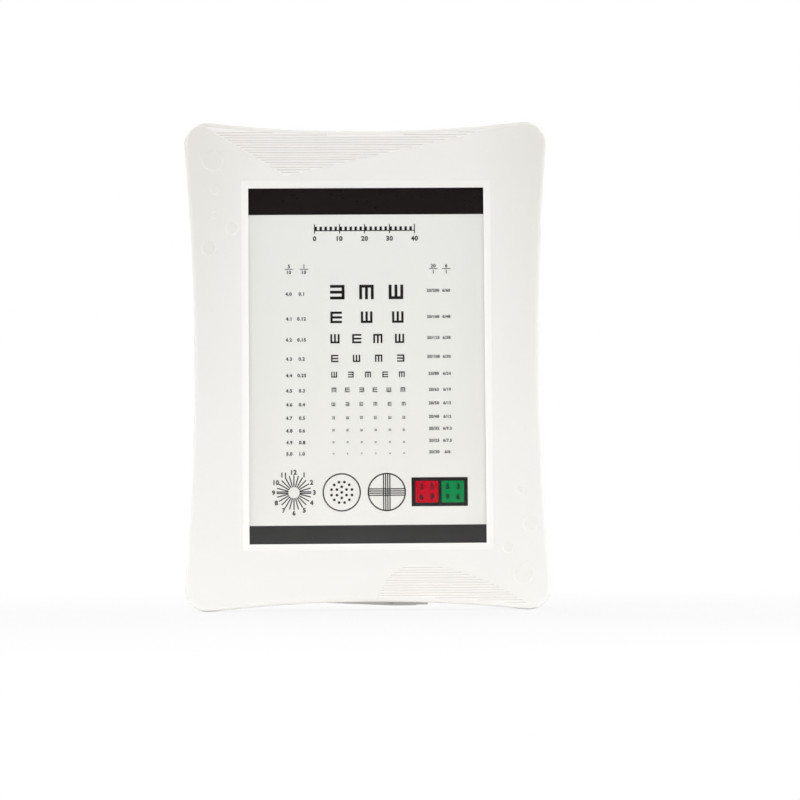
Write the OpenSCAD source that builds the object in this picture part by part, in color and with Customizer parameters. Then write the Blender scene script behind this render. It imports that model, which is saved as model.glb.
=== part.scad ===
// Illuminated near-vision chart box: a white two-part case with a back-lit film behind a clear window,
// a folding stand leg, a battery bay, a power inlet and a slide switch.
// X runs to the right, Y from the face to the back, and Z up. The case stands on its two bottom lobes.

/* [Case] */
// Width across the corner lobes
case_w = 145; // [142:1:148]
// Height across the corner lobes
case_h = 195; // [193:1:198]
// Depth from face to back
case_d = 24; // [24:0.5:25]
// How far the left and right sides draw in at the waist
side_sag = 3.9; // [3:0.1:5]
// How far the top and bottom edges draw in at mid-width
end_sag = 3.5; // [3:0.1:3.6]
// Radius of each corner lobe
corner_r = 9; // [8:0.5:10]
// Thickness of the side walls
wall = 2.2; // [2:0.1:2.4]
// Thickness of the face and of the back
skin = 2; // [1.8:0.1:2.1]
// Rounding where the face meets the sides
face_edge = 2.2; // [1.5:0.1:2.4]
// Rounding where the back meets the sides
back_edge = 3; // [2:0.5:3]
// Distance from the face back to the seam between the two shells
seam_depth = 10; // [10:0.5:10.5]

/* [Window] */
// Width of the window opening
window_w = 94; // [92:1:95]
// Height of the window opening
window_h = 142; // [140:1:143]
// Width of the sloping border round the opening
bevel_w = 2.7; // [2:0.1:3]
// Thickness of the clear pane
pane_t = 1.5; // [1.2:0.1:1.5]
// Thickness of the printed chart film
film_t = 0.3; // [0.2:0.05:0.3]
// Thickness of the diffuser
diffuser_t = 0.5; // [0.4:0.05:0.5]
// Thickness of the light guide
guide_t = 3; // [2.5:0.1:3]
// Thickness of the reflector sheet
reflector_t = 0.3; // [0.2:0.05:0.3]
// Thickness of the tray behind the light guide
tray_t = 1; // [0.8:0.1:1]

/* [Ribbed panels] */
// Distance from one groove to the next
groove_pitch = 1; // [1:0.1:1.3]
// Height of one groove
groove_w = 0.4; // [0.3:0.05:0.5]
// Depth of a groove below the floor of its panel
groove_depth = 0.3; // [0.2:0.05:0.4]
// Depth of the two panels and of the round dimples below the face
panel_depth = 0.25; // [0.2:0.05:0.4]

/* [Stand leg] */
// Height of the hinge axis above the bottom of the case
hinge_z = 121; // [119:1:122]
// Thickness of the leg plate
leg_t = 2.9; // [2.5:0.1:2.9]
// Half the width of the leg at its hinge
leg_top = 16; // [15:0.5:17]
// Half the width of the leg at its foot
leg_foot = 19.5; // [18:0.5:20]
// Radius of the steel hinge pin
pin_r = 1.2; // [1:0.1:1.3]

/* [Power] */
// Radius of one battery cell
cell_r = 5.1; // [5:0.05:5.25]
// Length of one battery cell with its button
cell_l = 44.5; // [44:0.1:44.8]
// Distance from one cell to the next
cell_pitch = 11.5; // [11:0.1:11.8]
// Radius of the round inlet socket
inlet_r = 3; // [2.8:0.1:3.2]
// Radius of the inlet's centre pin
inlet_pin_r = 1; // [0.8:0.05:1.25]
// Length of the switch cap
cap_l = 14.5; // [12:0.5:15]

/* [Lighting] */
// Number of lamps on each strip
lamp_count = 12; // [8:1:14]

/* [Hidden] */

$fn = 48;
gap = 0.05;
mid_z = case_h / 2;
face_y = -case_d / 2;
back_y = case_d / 2;
seam_y = face_y + seam_depth;
floor_y = back_y - skin;

// The layers behind the window, from front to back
pane_y = face_y + skin;
film_y = pane_y + pane_t + gap;
diffuser_y = film_y + film_t + gap;
guide_y = diffuser_y + diffuser_t + gap;
reflector_y = guide_y + guide_t + gap;
tray_y = reflector_y + reflector_t + gap;
tray_back = tray_y + tray_t;
pane_hw = 53.6;
pane_hh = 77.6;
film_hw = 53;
film_hh = 77;
guide_hw = 50;
guide_hh = 76;
tray_hw = 53.1;
tray_hh = 77.1;
flange_t = 1;
strip_x = 51;
strip_w = 2.8;
strip_hh = 74;
tray_ear = [57.5, 62];

// The two concave sides and the two concave ends, as circles that touch the corner lobes
lobe_x = case_w / 2 - corner_r;
lobe_z = case_h / 2 - corner_r;
side_in = corner_r - side_sag;
end_in = corner_r - end_sag;
side_r = (lobe_z ^ 2 + side_in ^ 2 - corner_r ^ 2) / (2 * side_sag);
end_r = (lobe_x ^ 2 + end_in ^ 2 - corner_r ^ 2) / (2 * end_sag);
side_c = case_w / 2 - side_sag + side_r;
end_c = case_h / 2 - end_sag + end_r;
side_a = asin(lobe_z / (side_r + corner_r));
end_a = asin(lobe_x / (end_r + corner_r));

// Case screws, one in each lobe
case_screw = [61.5, 86];
case_boss_r = 3.8;
case_screw_r = 1.25;
case_head_y = back_y - 7;

// Hinge of the leg and the recess that the leg folds into
hinge_y = back_y - 0.2 - leg_t;
knuckle_hw = 14;
leg_top_z = hinge_z - 4.05;
recess_top_z = hinge_z - 2.65;
recess_y = back_y - 3.8;
recess_wall = 1.5;
leg_side_gap = 0.8;
foot_z = 3.1;
toe_z = 1.85;
toe_x = 9.5;
pad_h = 3;

// Battery bay
cell_y = 4.4;
cell_z = 157.5;
bay_hw = 25.5;
bay_hh = 18;
bay_wall = 3;
bay_front = -2.7;
bay_floor = -1.4;
door_hw = 28;
door_hh = 20;
door_gap = 0.3;
door_t = 1.8;
plate_t = 0.4;
tab_x = 15;

// Circuit board
board_x0 = 30;
board_x1 = 58;
board_z0 = 74;
board_z1 = 114;
board_y = 4;
board_t = 1.6;
board_screws_at = [[33, 77], [55, 77], [33, 111], [55, 111]];

// Inlet and switch
inlet_y = 4.5;
inlet_z = 62;
inlet_face = 68.4;
inlet_depth = 9.5;
switch_x = 17;
switch_y = 3.4;
cap_w = 5;

// Round dimples in the face: x, height above mid-height, radius
DIMPLES = [
    [-61, 82.2, 4.25], [-59.9, 70.8, 2.2], [-60.3, 60.5, 1.5], [-53.3, 54.8, 2.6], [-62.7, 47, 3.1],
    [61.4, -83.1, 4.2], [55.4, -72.5, 2.4], [64.5, -63.6, 3], [60.5, -49.9, 1.8]
];

// ---- Outline and lofts ----

function on_arc(c, r, a) = [c[0] + r * cos(a), c[1] + r * sin(a)];

// The points strictly inside an arc that has n segments
function side_points(c, r, a0, a1, n) = [for (i = [1:n - 1]) on_arc(c, r, a0 + (a1 - a0) * i / n)];

// One corner lobe: the two tangent points and a quarter circle between them
function lobe_points(c, r, start, before, after) = concat(
    [on_arc(c, r, start - before)],
    [for (i = [0:8]) on_arc(c, r, start + 90 * i / 8)],
    [on_arc(c, r, start + 90 + after)]
);

// The case outline drawn in by d, anticlockwise as seen from the front
function outline(d) = concat(
    side_points([side_c, 0], side_r + d, 180 + side_a, 180 - side_a, 10),
    lobe_points([lobe_x, lobe_z], corner_r - d, 0, side_a, end_a),
    side_points([0, end_c], end_r + d, 270 + end_a, 270 - end_a, 8),
    lobe_points([-lobe_x, lobe_z], corner_r - d, 90, end_a, side_a),
    side_points([-side_c, 0], side_r + d, side_a, -side_a, 10),
    lobe_points([-lobe_x, -lobe_z], corner_r - d, 180, side_a, end_a),
    side_points([0, -end_c], end_r + d, 90 + end_a, 90 - end_a, 8),
    lobe_points([lobe_x, -lobe_z], corner_r - d, 270, end_a, side_a)
);

function ring(d, y) = [for (p = outline(d)) [p[0], y, mid_z + p[1]]];

function middle(r) = [for (k = [0:2]) sum([for (p = r) p[k]]) / len(r)];
function sum(v, i = 0) = i == len(v) ? 0 : v[i] + sum(v, i + 1);

// Faces of a stack of m equal rings of n points, each end closed with a fan round its middle point
function stack_faces(n, m) = concat(
    [for (i = [0:n - 1]) [m * n, (i + 1) % n, i]],
    [for (k = [0:m - 2], i = [0:n - 1]) [
        k * n + i, k * n + (i + 1) % n, (k + 1) * n + (i + 1) % n, (k + 1) * n + i
    ]],
    [for (i = [0:n - 1]) [m * n + 1, (m - 1) * n + i, (m - 1) * n + (i + 1) % n]]
);

module loft(rings) {
    n = len(rings[0]);
    m = len(rings);
    points = concat([for (r = rings, p = r) p], [middle(rings[0]), middle(rings[m - 1])]);
    polyhedron(points = points, faces = stack_faces(n, m));
}

// The height of the lower edge of the case above the standing line, at x
function bottom_edge(x) = mid_z - end_c + sqrt(end_r ^ 2 - x ^ 2);

// ---- Plain shapes ----

module block(x0, x1, y0, y1, z0, z1) {
    translate([x0, y0, z0]) cube([x1 - x0, y1 - y0, z1 - z0]);
}

module rod_y(r, x, z, y0, y1) {
    translate([x, y0, z]) rotate([-90, 0, 0]) cylinder(r = r, h = y1 - y0);
}

module rod_x(r, y, z, x0, x1) {
    translate([x0, y, z]) rotate([0, 90, 0]) cylinder(r = r, h = x1 - x0);
}

// A flat outline in X and Z, given depth along Y
module slab(points, y0, y1) {
    translate([0, y1, 0]) rotate([90, 0, 0]) linear_extrude(height = y1 - y0) polygon(points);
}

// A rectangle in X and Z about the window's centre, as four points
function frame_ring(hw, hh, y) = [
    [hw, y, mid_z - hh], [hw, y, mid_z + hh], [-hw, y, mid_z + hh], [-hw, y, mid_z - hh]
];

module sheet(hw, hh, y, t) {
    block(-hw, hw, y, y + t, mid_z - hh, mid_z + hh);
}

// A round tube along a smooth line through the points of a route
function catmull(a, b, c, d, t) = 0.5 * (
    2 * b + (c - a) * t + (2 * a - 5 * b + 4 * c - d) * t ^ 2 + (3 * b - a - 3 * c + d) * t ^ 3
);

function smooth_route(p, n) = concat(
    [for (i = [0:len(p) - 2], k = [0:n - 1]) catmull(
        p[max(i - 1, 0)], p[i], p[i + 1], p[min(i + 2, len(p) - 1)], k / n
    )],
    [p[len(p) - 1]]
);

function unit(v) = v / norm(v);
function tangent(p, i) = unit(p[min(i + 1, len(p) - 1)] - p[max(i - 1, 0)]);
function carry(u, t) = unit(u - (u * t) * t);
function carried(p, start, i) = i == 0 ? carry(start, tangent(p, 0)) : carry(carried(p, start, i - 1), tangent(p, i));

module tube(path, r, sides, start) {
    rings = [for (i = [0:len(path) - 1])
        let (t = tangent(path, i), u = carried(path, start, i), v = cross(t, u))
        [for (k = [0:sides - 1]) path[i] + r * (cos(360 * k / sides) * u - sin(360 * k / sides) * v)]
    ];
    loft(rings);
}

// ---- Front shell ----

module bezel_shell() {
    edge = [for (i = [0:4]) ring(face_edge * (1 - sin(22.5 * i)), face_y + face_edge * (1 - cos(22.5 * i)))];
    rim = [ring(0, seam_y - 0.3), ring(0.3, seam_y)];
    inside = [ring(wall, seam_y), ring(wall, pane_y + 1), ring(wall + 1, pane_y)];
    loft(concat(edge, rim, inside));
}

// Left and right boundary of the upper panel, at a height above mid-height
function upper_left(z) = -62.6 + (94.8 - z) * 1.61;
function upper_right(z) = z < 92 ? -30 + (z - 76.3) / 0.2235 : upper_tail(z);
function upper_tail(z) = z < 93.35 ? 40.2 + (z - 92) / 0.28 : 45 + (z - 93.35) / 0.177;

// The same for the lower panel, whose edge is a small arc that runs into a large one
function lower_left(z) = 20.3 - sqrt(17 ^ 2 - (z + 96.1) ^ 2);
function lower_right(z) = 6.8 + sqrt(101.5 ^ 2 - (z + 179.5) ^ 2);

// The edge strip with no grooves, and how far from the centre line it leaves room for one
strip = 2;
end_line = case_h / 2 - end_sag - strip;
function strip_x(z) = z <= end_line ? 0 : sqrt((z - end_line) * 2 * end_r);

module groove(x0, x1, z) {
    if (x1 - x0 > 1)
        block(
            x0, x1, face_y - 1, face_y + panel_depth + groove_depth,
            mid_z + z - groove_w / 2, mid_z + z + groove_w / 2
        );
}

module upper_grooves() {
    for (i = [0:16]) {
        z = 77.2 + i * groove_pitch;
        if (z <= end_line) {
            groove(upper_left(z), upper_right(z), z);
        } else {
            groove(upper_left(z), -strip_x(z), z);
            groove(strip_x(z), upper_right(z), z);
        }
    }
}

module lower_grooves() {
    for (i = [0:14]) {
        z = -80.6 - i * groove_pitch;
        groove(max(lower_left(z), strip_x(-z)), lower_right(z), z);
    }
}

// The floor of each ribbed panel, a little below the face, out past the edge of the case
module upper_panel() {
    slab([
        for (z = [75.9, 99]) [upper_left(z), mid_z + z],
        for (z = [99, 93.35, 92, 75.9]) [upper_right(z), mid_z + z]
    ], face_y - 1, face_y + panel_depth);
}

module lower_panel() {
    slab(concat(
        [for (z = [-99:1.5:-81]) [lower_left(z), mid_z + z]],
        [[lower_left(-79.6), mid_z - 79.6]],
        [for (z = [-80:-2:-98]) [lower_right(z), mid_z + z]],
        [[lower_right(-99), mid_z - 99]]
    ), face_y - 1, face_y + panel_depth);
}

module dimples() {
    for (d = DIMPLES)
        translate([d[0], face_y - 0.5, mid_z + d[1]])
            rotate([-90, 0, 0]) cylinder(r1 = d[2] + 0.5, r2 = d[2] - 0.25, h = 0.5 + panel_depth);
}

module front_bezel() {
    color([0.94, 0.93, 0.91])
        difference() {
            union() {
                bezel_shell();
                difference() {
                    sheet(pane_hw + 1.5, pane_hh + 1.5, pane_y - 0.6, 3.6);
                    sheet(pane_hw + 0.3, pane_hh + 0.3, pane_y, 4);
                }
                for (x = [-1, 1], z = [-1, 1]) {
                    rod_y(case_boss_r, x * case_screw[0], mid_z + z * case_screw[1], pane_y - 0.6, seam_y - 0.3);
                    rod_y(3, x * tray_ear[0], mid_z + z * tray_ear[1], pane_y - 0.6, tray_y);
                }
            }
            sheet(window_w / 2, window_h / 2, face_y - 1, 4);
            loft([
                frame_ring(window_w / 2 + bevel_w + 1.8, window_h / 2 + bevel_w + 1.8, face_y - 1),
                frame_ring(window_w / 2, window_h / 2, face_y + skin - 0.5)
            ]);
            for (x = [-1, 1], z = [-1, 1]) {
                rod_y(case_screw_r + 0.02, x * case_screw[0], mid_z + z * case_screw[1], -8.6, seam_y);
                rod_y(1, x * tray_ear[0], mid_z + z * tray_ear[1], -8.6, tray_y + 1);
            }
            upper_panel();
            lower_panel();
            upper_grooves();
            lower_grooves();
            dimples();
        }
}

// ---- Window and light ----

module window_pane() {
    color([0.85, 0.92, 0.95, 0.3]) sheet(pane_hw, pane_hh, pane_y, pane_t);
}

module chart_film() {
    color([0.95, 0.95, 0.93]) sheet(film_hw, film_hh, film_y, film_t);
}

module diffuser_sheet() {
    color([0.97, 0.97, 0.97]) sheet(film_hw, film_hh, diffuser_y, diffuser_t);
}

module light_guide() {
    color([0.8, 0.9, 0.95, 0.5]) sheet(guide_hw, guide_hh, guide_y, guide_t);
}

module reflector_sheet() {
    color([0.9, 0.9, 0.92]) sheet(guide_hw, guide_hh, reflector_y, reflector_t);
}

module backlight_tray() {
    color([0.75, 0.77, 0.79])
        difference() {
            union() {
                difference() {
                    sheet(tray_hw, tray_hh, guide_y, tray_back - guide_y);
                    sheet(tray_hw - flange_t, guide_hh + 0.1, guide_y - 1, tray_y - guide_y + 1);
                }
                for (x = [-1, 1], z = [-1, 1])
                    block(
                        min(x * 52.5, x * 61), max(x * 52.5, x * 61), tray_y, tray_back,
                        mid_z + z * tray_ear[1] - 5, mid_z + z * tray_ear[1] + 5
                    );
            }
            for (x = [-1, 1], z = [-1, 1])
                rod_y(1.25, x * tray_ear[0], mid_z + z * tray_ear[1], tray_y - 1, tray_back + 1);
            rod_y(1, -51.5, 140, tray_y - 1, tray_back + 1);
            rod_y(1, 51.5, 118, tray_y - 1, tray_back + 1);
        }
}

// A lamp strip on the side of the light guide that s points to
module led_strip(s) {
    x = s * strip_x;
    color([0.93, 0.94, 0.9])
        block(
            min(x, x + s), max(x, x + s), guide_y + 0.1, guide_y + 0.1 + strip_w,
            mid_z - strip_hh, mid_z + strip_hh
        );
}

module leds(s) {
    step = (2 * strip_hh - 12) / (lamp_count - 1);
    x = s * (strip_x - 0.85);
    color([0.97, 0.9, 0.45])
        for (i = [0:lamp_count - 1])
            translate([x + s * 0.425 - 0.425, guide_y + 0.4, mid_z - strip_hh + 4.25 + i * step])
                cube([0.85, 2.2, 3.5]);
}

// A screw along Y with its head at the back: x, z, y under the head, length, shank radius, head radius and height
module cross_screw(x, z, y, l, r, head_r, head_h) {
    difference() {
        union() {
            rod_y(r, x, z, y - l, y + 0.1);
            rod_y(head_r, x, z, y, y + head_h);
        }
        block(x - head_r * 0.6, x + head_r * 0.6, y + head_h * 0.4, y + head_h + 1, z - 0.25, z + 0.25);
        block(x - 0.25, x + 0.25, y + head_h * 0.4, y + head_h + 1, z - head_r * 0.6, z + head_r * 0.6);
    }
}

module tray_screws() {
    color([0.7, 0.7, 0.72])
        for (x = [-1, 1], z = [-1, 1])
            cross_screw(x * tray_ear[0], mid_z + z * tray_ear[1], tray_back, 5, 0.98, 2, 1.3);
}

module case_screws() {
    color([0.55, 0.56, 0.58])
        for (x = [-1, 1], z = [-1, 1])
            cross_screw(x * case_screw[0], mid_z + z * case_screw[1], case_head_y, 13, case_screw_r, 2.4, 1.7);
}

// ---- Rear cover ----

module cover_shell() {
    inside = [
        ring(wall + 1, floor_y), ring(wall, floor_y - 1), ring(wall, seam_y + 2.2),
        ring(wall + 1.15, seam_y + 1), ring(wall + 1.15, seam_y - 1.5)
    ];
    lip = [ring(wall + 0.15, seam_y - 1.5), ring(wall + 0.15, seam_y)];
    rim = [ring(0.3, seam_y), ring(0, seam_y + 0.3)];
    edge = [for (i = [0:4]) ring(back_edge * (1 - cos(22.5 * i)), back_y - back_edge * (1 - sin(22.5 * i)))];
    loft(concat(inside, lip, rim, edge));
}

// The recess outline for the folded leg, drawn out by d
function recess_points(d) = [
    [-leg_foot - leg_side_gap - d, -1], [leg_foot + leg_side_gap + d, -1],
    [leg_foot + leg_side_gap + d, 14], [leg_top + leg_side_gap + d, recess_top_z + d],
    [-leg_top - leg_side_gap - d, recess_top_z + d], [-leg_foot - leg_side_gap - d, 14]
];

module recess_walls() {
    intersection() {
        slab(recess_points(recess_wall), recess_y - recess_wall, floor_y + 0.5);
        block(-30, 30, 0, back_y, 4.6, 140);
    }
    block(-knuckle_hw - 4.5, knuckle_hw + 4.5, hinge_y - 5, floor_y + 0.5, hinge_z - 5.2, hinge_z + 5.2);
}

module recess_cut() {
    slab(recess_points(0), recess_y, back_y + 1);
    block(-knuckle_hw - 0.35, knuckle_hw + 0.35, hinge_y - 3.5, back_y + 1, hinge_z - 3.9, hinge_z + 3.6);
    rod_x(pin_r, hinge_y, hinge_z, -knuckle_hw - 3.6, knuckle_hw + 3.6);
}

module bay_walls() {
    sheet_z0 = cell_z - bay_hh;
    sheet_z1 = cell_z + bay_hh;
    difference() {
        block(
            -bay_hw - bay_wall, bay_hw + bay_wall, bay_front, floor_y + 0.5,
            sheet_z0 - bay_wall, sheet_z1 + bay_wall
        );
        block(-bay_hw, bay_hw, bay_floor, back_y, sheet_z0, sheet_z1);
    }
}

module bay_cut() {
    block(-door_hw, door_hw, floor_y, back_y + 1, cell_z - door_hh, cell_z + door_hh);
    for (x = [-tab_x, tab_x])
        block(x - 4.3, x + 4.3, back_y - 4.5, floor_y + 0.01, cell_z - door_hh - 3.2, cell_z - bay_hh + 0.1);
    block(bay_hw - 0.1, bay_hw + bay_wall + 1, 5.8, 8.2, cell_z - cell_pitch - 1.7, cell_z - cell_pitch + 1.7);
    block(-bay_hw - bay_wall - 1, -bay_hw + 0.1, 5.8, 8.2, cell_z + cell_pitch - 1.7, cell_z + cell_pitch + 1.7);
}

module inlet_and_switch_ribs() {
    for (z = [inlet_z - 6.4, inlet_z + 5.2])
        block(56, 67.5, 2, floor_y + 0.5, z, z + 1.2);
    for (x = [switch_x - 11.4, switch_x + 10.2])
        block(x, x + 1.2, -1, 6.6, 4.6, 11);
}

module rear_cover() {
    color([0.94, 0.93, 0.91])
        difference() {
            union() {
                cover_shell();
                recess_walls();
                bay_walls();
                inlet_and_switch_ribs();
                for (x = [-1, 1], z = [-1, 1])
                    rod_y(case_boss_r, x * case_screw[0], mid_z + z * case_screw[1], seam_y, floor_y + 0.5);
                for (p = board_screws_at)
                    rod_y(2.6, p[0], p[1], board_y + board_t, floor_y + 0.5);
            }
            recess_cut();
            bay_cut();
            for (x = [-1, 1], z = [-1, 1]) {
                rod_y(2.8, x * case_screw[0], mid_z + z * case_screw[1], case_head_y, back_y + 1);
                rod_y(1.5, x * case_screw[0], mid_z + z * case_screw[1], seam_y - 1, back_y);
            }
            for (p = board_screws_at)
                rod_y(0.92, p[0], p[1], board_y, 9);
            rod_x(4.4, inlet_y, inlet_z, 64, case_w / 2 + 2);
            block(switch_x - cap_l / 2 - 3.6, switch_x + cap_l / 2 + 0.6, switch_y - 3, switch_y + 3, -1, 4.6);
            block(switch_x - 5.9, switch_x + 2.9, switch_y - 1.7, switch_y + 1.7, 4, 8);
        }
}

// ---- Stand leg ----

module hinge_pin() {
    color([0.72, 0.73, 0.75]) rod_x(pin_r, hinge_y, hinge_z, -knuckle_hw - 3.5, knuckle_hw + 3.5);
}

module stand_leg() {
    color([0.9, 0.89, 0.87])
        difference() {
            union() {
                slab([
                    [-leg_foot, foot_z + pad_h], [toe_x, toe_z + pad_h], [leg_foot, toe_z + pad_h], [leg_foot, 14],
                    [leg_top, leg_top_z], [-leg_top, leg_top_z], [-leg_foot, 14]
                ], hinge_y, hinge_y + leg_t);
                rod_x(leg_t, hinge_y, hinge_z, -knuckle_hw, knuckle_hw);
                block(-knuckle_hw, knuckle_hw, hinge_y, hinge_y + leg_t, leg_top_z - 1, hinge_z);
            }
            rod_x(pin_r + 0.05, hinge_y, hinge_z, -knuckle_hw - 1, knuckle_hw + 1);
            slab([
                [-leg_foot + 4, 30], [leg_foot - 4, 30], [leg_top - 3, leg_top_z - 8], [-leg_top + 3, leg_top_z - 8]
            ], hinge_y + leg_t - 0.8, hinge_y + leg_t + 1);
            for (i = [0:4])
                block(-12, 12, hinge_y + leg_t - 0.5, hinge_y + leg_t + 1, 12 + i * 3, 13.2 + i * 3);
        }
}

module stand_foot_pad() {
    color([0.66, 0.66, 0.64])
        slab([
            [-leg_foot, foot_z], [toe_x, toe_z], [leg_foot, toe_z],
            [leg_foot, toe_z + pad_h], [toe_x, toe_z + pad_h], [-leg_foot, foot_z + pad_h]
        ], hinge_y, hinge_y + leg_t);
}

// ---- Battery bay ----

module battery_door() {
    x1 = door_hw - door_gap;
    z0 = cell_z - door_hh + 0.2;
    z1 = cell_z + door_hh - 0.2;
    color([0.94, 0.93, 0.91])
        difference() {
            union() {
                block(-x1, x1, back_y - door_t, back_y, z0, z1);
                for (x = [-tab_x, tab_x])
                    block(x - 4, x + 4, back_y - 3.4, back_y - 2.1, z0 - 2.4, z0 + 1.3);
                for (x = [-tab_x, tab_x])
                    block(x - 4, x + 4, back_y - 3.4, back_y - door_t + 0.5, z0 + 0.3, z0 + 1.3);
            }
            for (i = [0:5])
                block(-9, 9, back_y - 0.5, back_y + 1, z1 - 7 - i * 1.8, z1 - 6 - i * 1.8);
            for (x = [-12.5, 11.7])
                block(x, x + 0.8, back_y - 3, back_y + 1, z1 - 9, z1 + 1);
        }
}

// One cell along X, with its button towards s
module cell(s, z) {
    x = s * (bay_hw - plate_t);
    rod_x(cell_r, cell_y, z, min(x - s, x - s * cell_l), max(x - s, x - s * cell_l));
    rod_x(1.9, cell_y, z, min(x, x - 1.2 * s), max(x, x - 1.2 * s));
}

module battery_cells() {
    color([0.35, 0.38, 0.42])
        for (i = [-1:1])
            cell(i == 0 ? -1 : 1, cell_z + i * cell_pitch);
}

// A contact plate on the end wall that s points to, from one height to another
module contact_plate(s, z0, z1) {
    x = s * bay_hw;
    block(min(x, x - s * plate_t), max(x, x - s * plate_t), 0, 8.6, z0, z1);
}

module solder_tail(s, z) {
    x = s * (bay_hw - plate_t);
    block(min(x, x + s * 4.2), max(x, x + s * 4.2), 6.4, 7.6, z - 1.2, z + 1.2);
}

module battery_plates() {
    low = cell_z - cell_pitch;
    high = cell_z + cell_pitch;
    color([0.78, 0.78, 0.76]) {
        union() {
            contact_plate(1, low - 4, low + 4);
            solder_tail(1, low);
        }
        contact_plate(-1, low - 4, cell_z + 4);
        contact_plate(1, cell_z - 4, high + 4);
        union() {
            contact_plate(-1, high - 4, high + 4);
            solder_tail(-1, high);
        }
    }
}

// A conical contact spring that presses on the flat end of a cell whose button is towards s
module contact_spring(s, z) {
    wire = 0.35;
    turns = 3.5;
    steps = 42;
    from = bay_hw - plate_t - wire - 0.05;
    to = cell_l - bay_hw + plate_t + wire + 0.05;
    path = [for (i = [0:steps])
        let (f = i / steps, a = 360 * turns * f, r = 3.8 - 1.5 * f)
        [-s * (from + (to - from) * f), cell_y + r * cos(a), z + r * sin(a)]
    ];
    tube(path, wire, 6, [1, 0, 0]);
}

module battery_springs() {
    color([0.8, 0.8, 0.78])
        for (i = [-1:1])
            contact_spring(i == 0 ? -1 : 1, cell_z + i * cell_pitch);
}

// ---- Electronics ----

module driver_board() {
    color([0.12, 0.42, 0.22])
        difference() {
            block(board_x0, board_x1, board_y, board_y + board_t, board_z0, board_z1);
            for (p = board_screws_at)
                rod_y(1.15, p[0], p[1], board_y - 1, board_y + board_t + 1);
        }
}

module driver_chip() {
    color([0.1, 0.1, 0.11]) {
        block(41.5, 46.5, board_y - 1.5, board_y - 0.15, 91, 97);
        for (i = [0:3], x = [40.6, 46.3])
            block(x, x + 1.1, board_y - 0.6, board_y, 91.6 + i * 1.4, 92.1 + i * 1.4);
    }
}

module choke_coil() {
    color([0.2, 0.2, 0.21])
        union() {
            rod_y(3.9, 35.5, 93, board_y - 1, board_y);
            rod_y(3, 35.5, 93, board_y - 3.6, board_y - 0.5);
            rod_y(3.9, 35.5, 93, board_y - 4.4, board_y - 3.4);
        }
}

module smoothing_capacitor() {
    color([0.55, 0.56, 0.6]) rod_y(3.1, 52.5, 93, board_y - 5.2, board_y);
}

module board_screws() {
    color([0.7, 0.7, 0.72])
        for (p = board_screws_at)
            mirror([0, 1, 0]) cross_screw(p[0], p[1], -board_y, 4.8, 0.9, 1.9, 1.2);
}

module dc_inlet() {
    color([0.08, 0.08, 0.09])
        difference() {
            union() {
                block(54, 66.4, inlet_y - 4.4, inlet_y + 4.4, inlet_z - 5, inlet_z + 5);
                rod_x(4.2, inlet_y, inlet_z, 66, inlet_face);
            }
            rod_x(inlet_r, inlet_y, inlet_z, inlet_face - inlet_depth, inlet_face + 1);
        }
}

module dc_inlet_pin() {
    color([0.8, 0.78, 0.6]) rod_x(inlet_pin_r, inlet_y, inlet_z, inlet_face - inlet_depth, inlet_face - 1);
}

module switch_body() {
    color([0.12, 0.12, 0.13])
        difference() {
            block(switch_x - 10, switch_x + 10, switch_y - 3.1, switch_y + 3.1, 5.9, 12);
            block(switch_x - 5.9, switch_x + 2.9, switch_y - 1.7, switch_y + 1.7, 5, 10.4);
        }
}

module switch_knob() {
    color([0.42, 0.42, 0.41])
        difference() {
            union() {
                slab([
                    [switch_x - cap_l / 2, toe_z], [switch_x + cap_l / 2 - 1.2, toe_z],
                    [switch_x + cap_l / 2, 4.2], [switch_x - cap_l / 2, 4.2]
                ], switch_y - cap_w / 2, switch_y + cap_w / 2);
                block(switch_x - 2.5, switch_x + 2.5, switch_y - 1.4, switch_y + 1.4, 4, 9.8);
            }
            for (x = [switch_x - 4.8:1.6:switch_x + 4.8])
                block(x - 0.35, x + 0.35, switch_y - 1.9, switch_y + 1.9, toe_z - 1, toe_z + 0.4);
        }
}

// ---- Leads ----

// A lead ends in a short straight stretch that stops just clear of what it is soldered to
BOARD_END = board_y - gap;
INLET_ROUTE = [
    [54 - gap, 4.5, 62], [53, 4.5, 62], [51, 4.5, 62], [46, 2.5, 66], [43.5, 0.6, 72], [42.5, 0.3, 77], [42.5, 2, 80],
    [42.5, 3, 80], [42.5, BOARD_END, 80]
];
SWITCH_ROUTE = [
    [22, 3.4, 12 + gap], [22, 3.4, 13], [22.4, 3.4, 15], [27, 3, 22], [28, 2, 40], [29, 1, 58], [34, 0.3, 72],
    [36.5, 0.5, 77], [36.5, 2, 80], [36.5, 3, 80], [36.5, BOARD_END, 80]
];
PLUS_ROUTE = [
    [29.3 + gap, 7, 146], [30.3, 7, 146], [32, 7, 145], [35, 5, 138], [38, 1.5, 128], [40, 0.3, 118], [40, 0.5, 111],
    [40, 2, 108], [40, 3, 108], [40, BOARD_END, 108]
];
MINUS_ROUTE = [
    [-29.3 - gap, 7, 169], [-30.3, 7, 169], [-32, 7, 168], [-34, 4, 160], [-33.5, 3, 145], [-33, 2.6, 136],
    [-29, 1.6, 131.5], [-15, 0.6, 130.4], [0, 0.4, 130.2], [20, 0.4, 130], [31, 0.4, 126], [35, 0.4, 116],
    [36, 2, 108], [36, 3, 108], [36, BOARD_END, 108]
];
LEFT_LED_ROUTE = [
    [46, BOARD_END, 108], [46, 3, 108], [46, 2, 108], [46, 0.3, 112], [44, -0.6, 122], [38, -0.8, 131],
    [28, -1, 133.8], [0, -1, 134], [-30, -1, 134], [-46, -1, 134.5], [-51, -1.3, 138], [-51.5, -2.6, 140], [-51.5, -4.5, 140]
];
RIGHT_LED_ROUTE = [
    [52, BOARD_END, 108], [52, 3, 108], [52, 2, 108], [52, 0.4, 112], [51.6, -1, 116], [51.5, -2.6, 118],
    [51.5, -4.5, 118]
];

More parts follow.
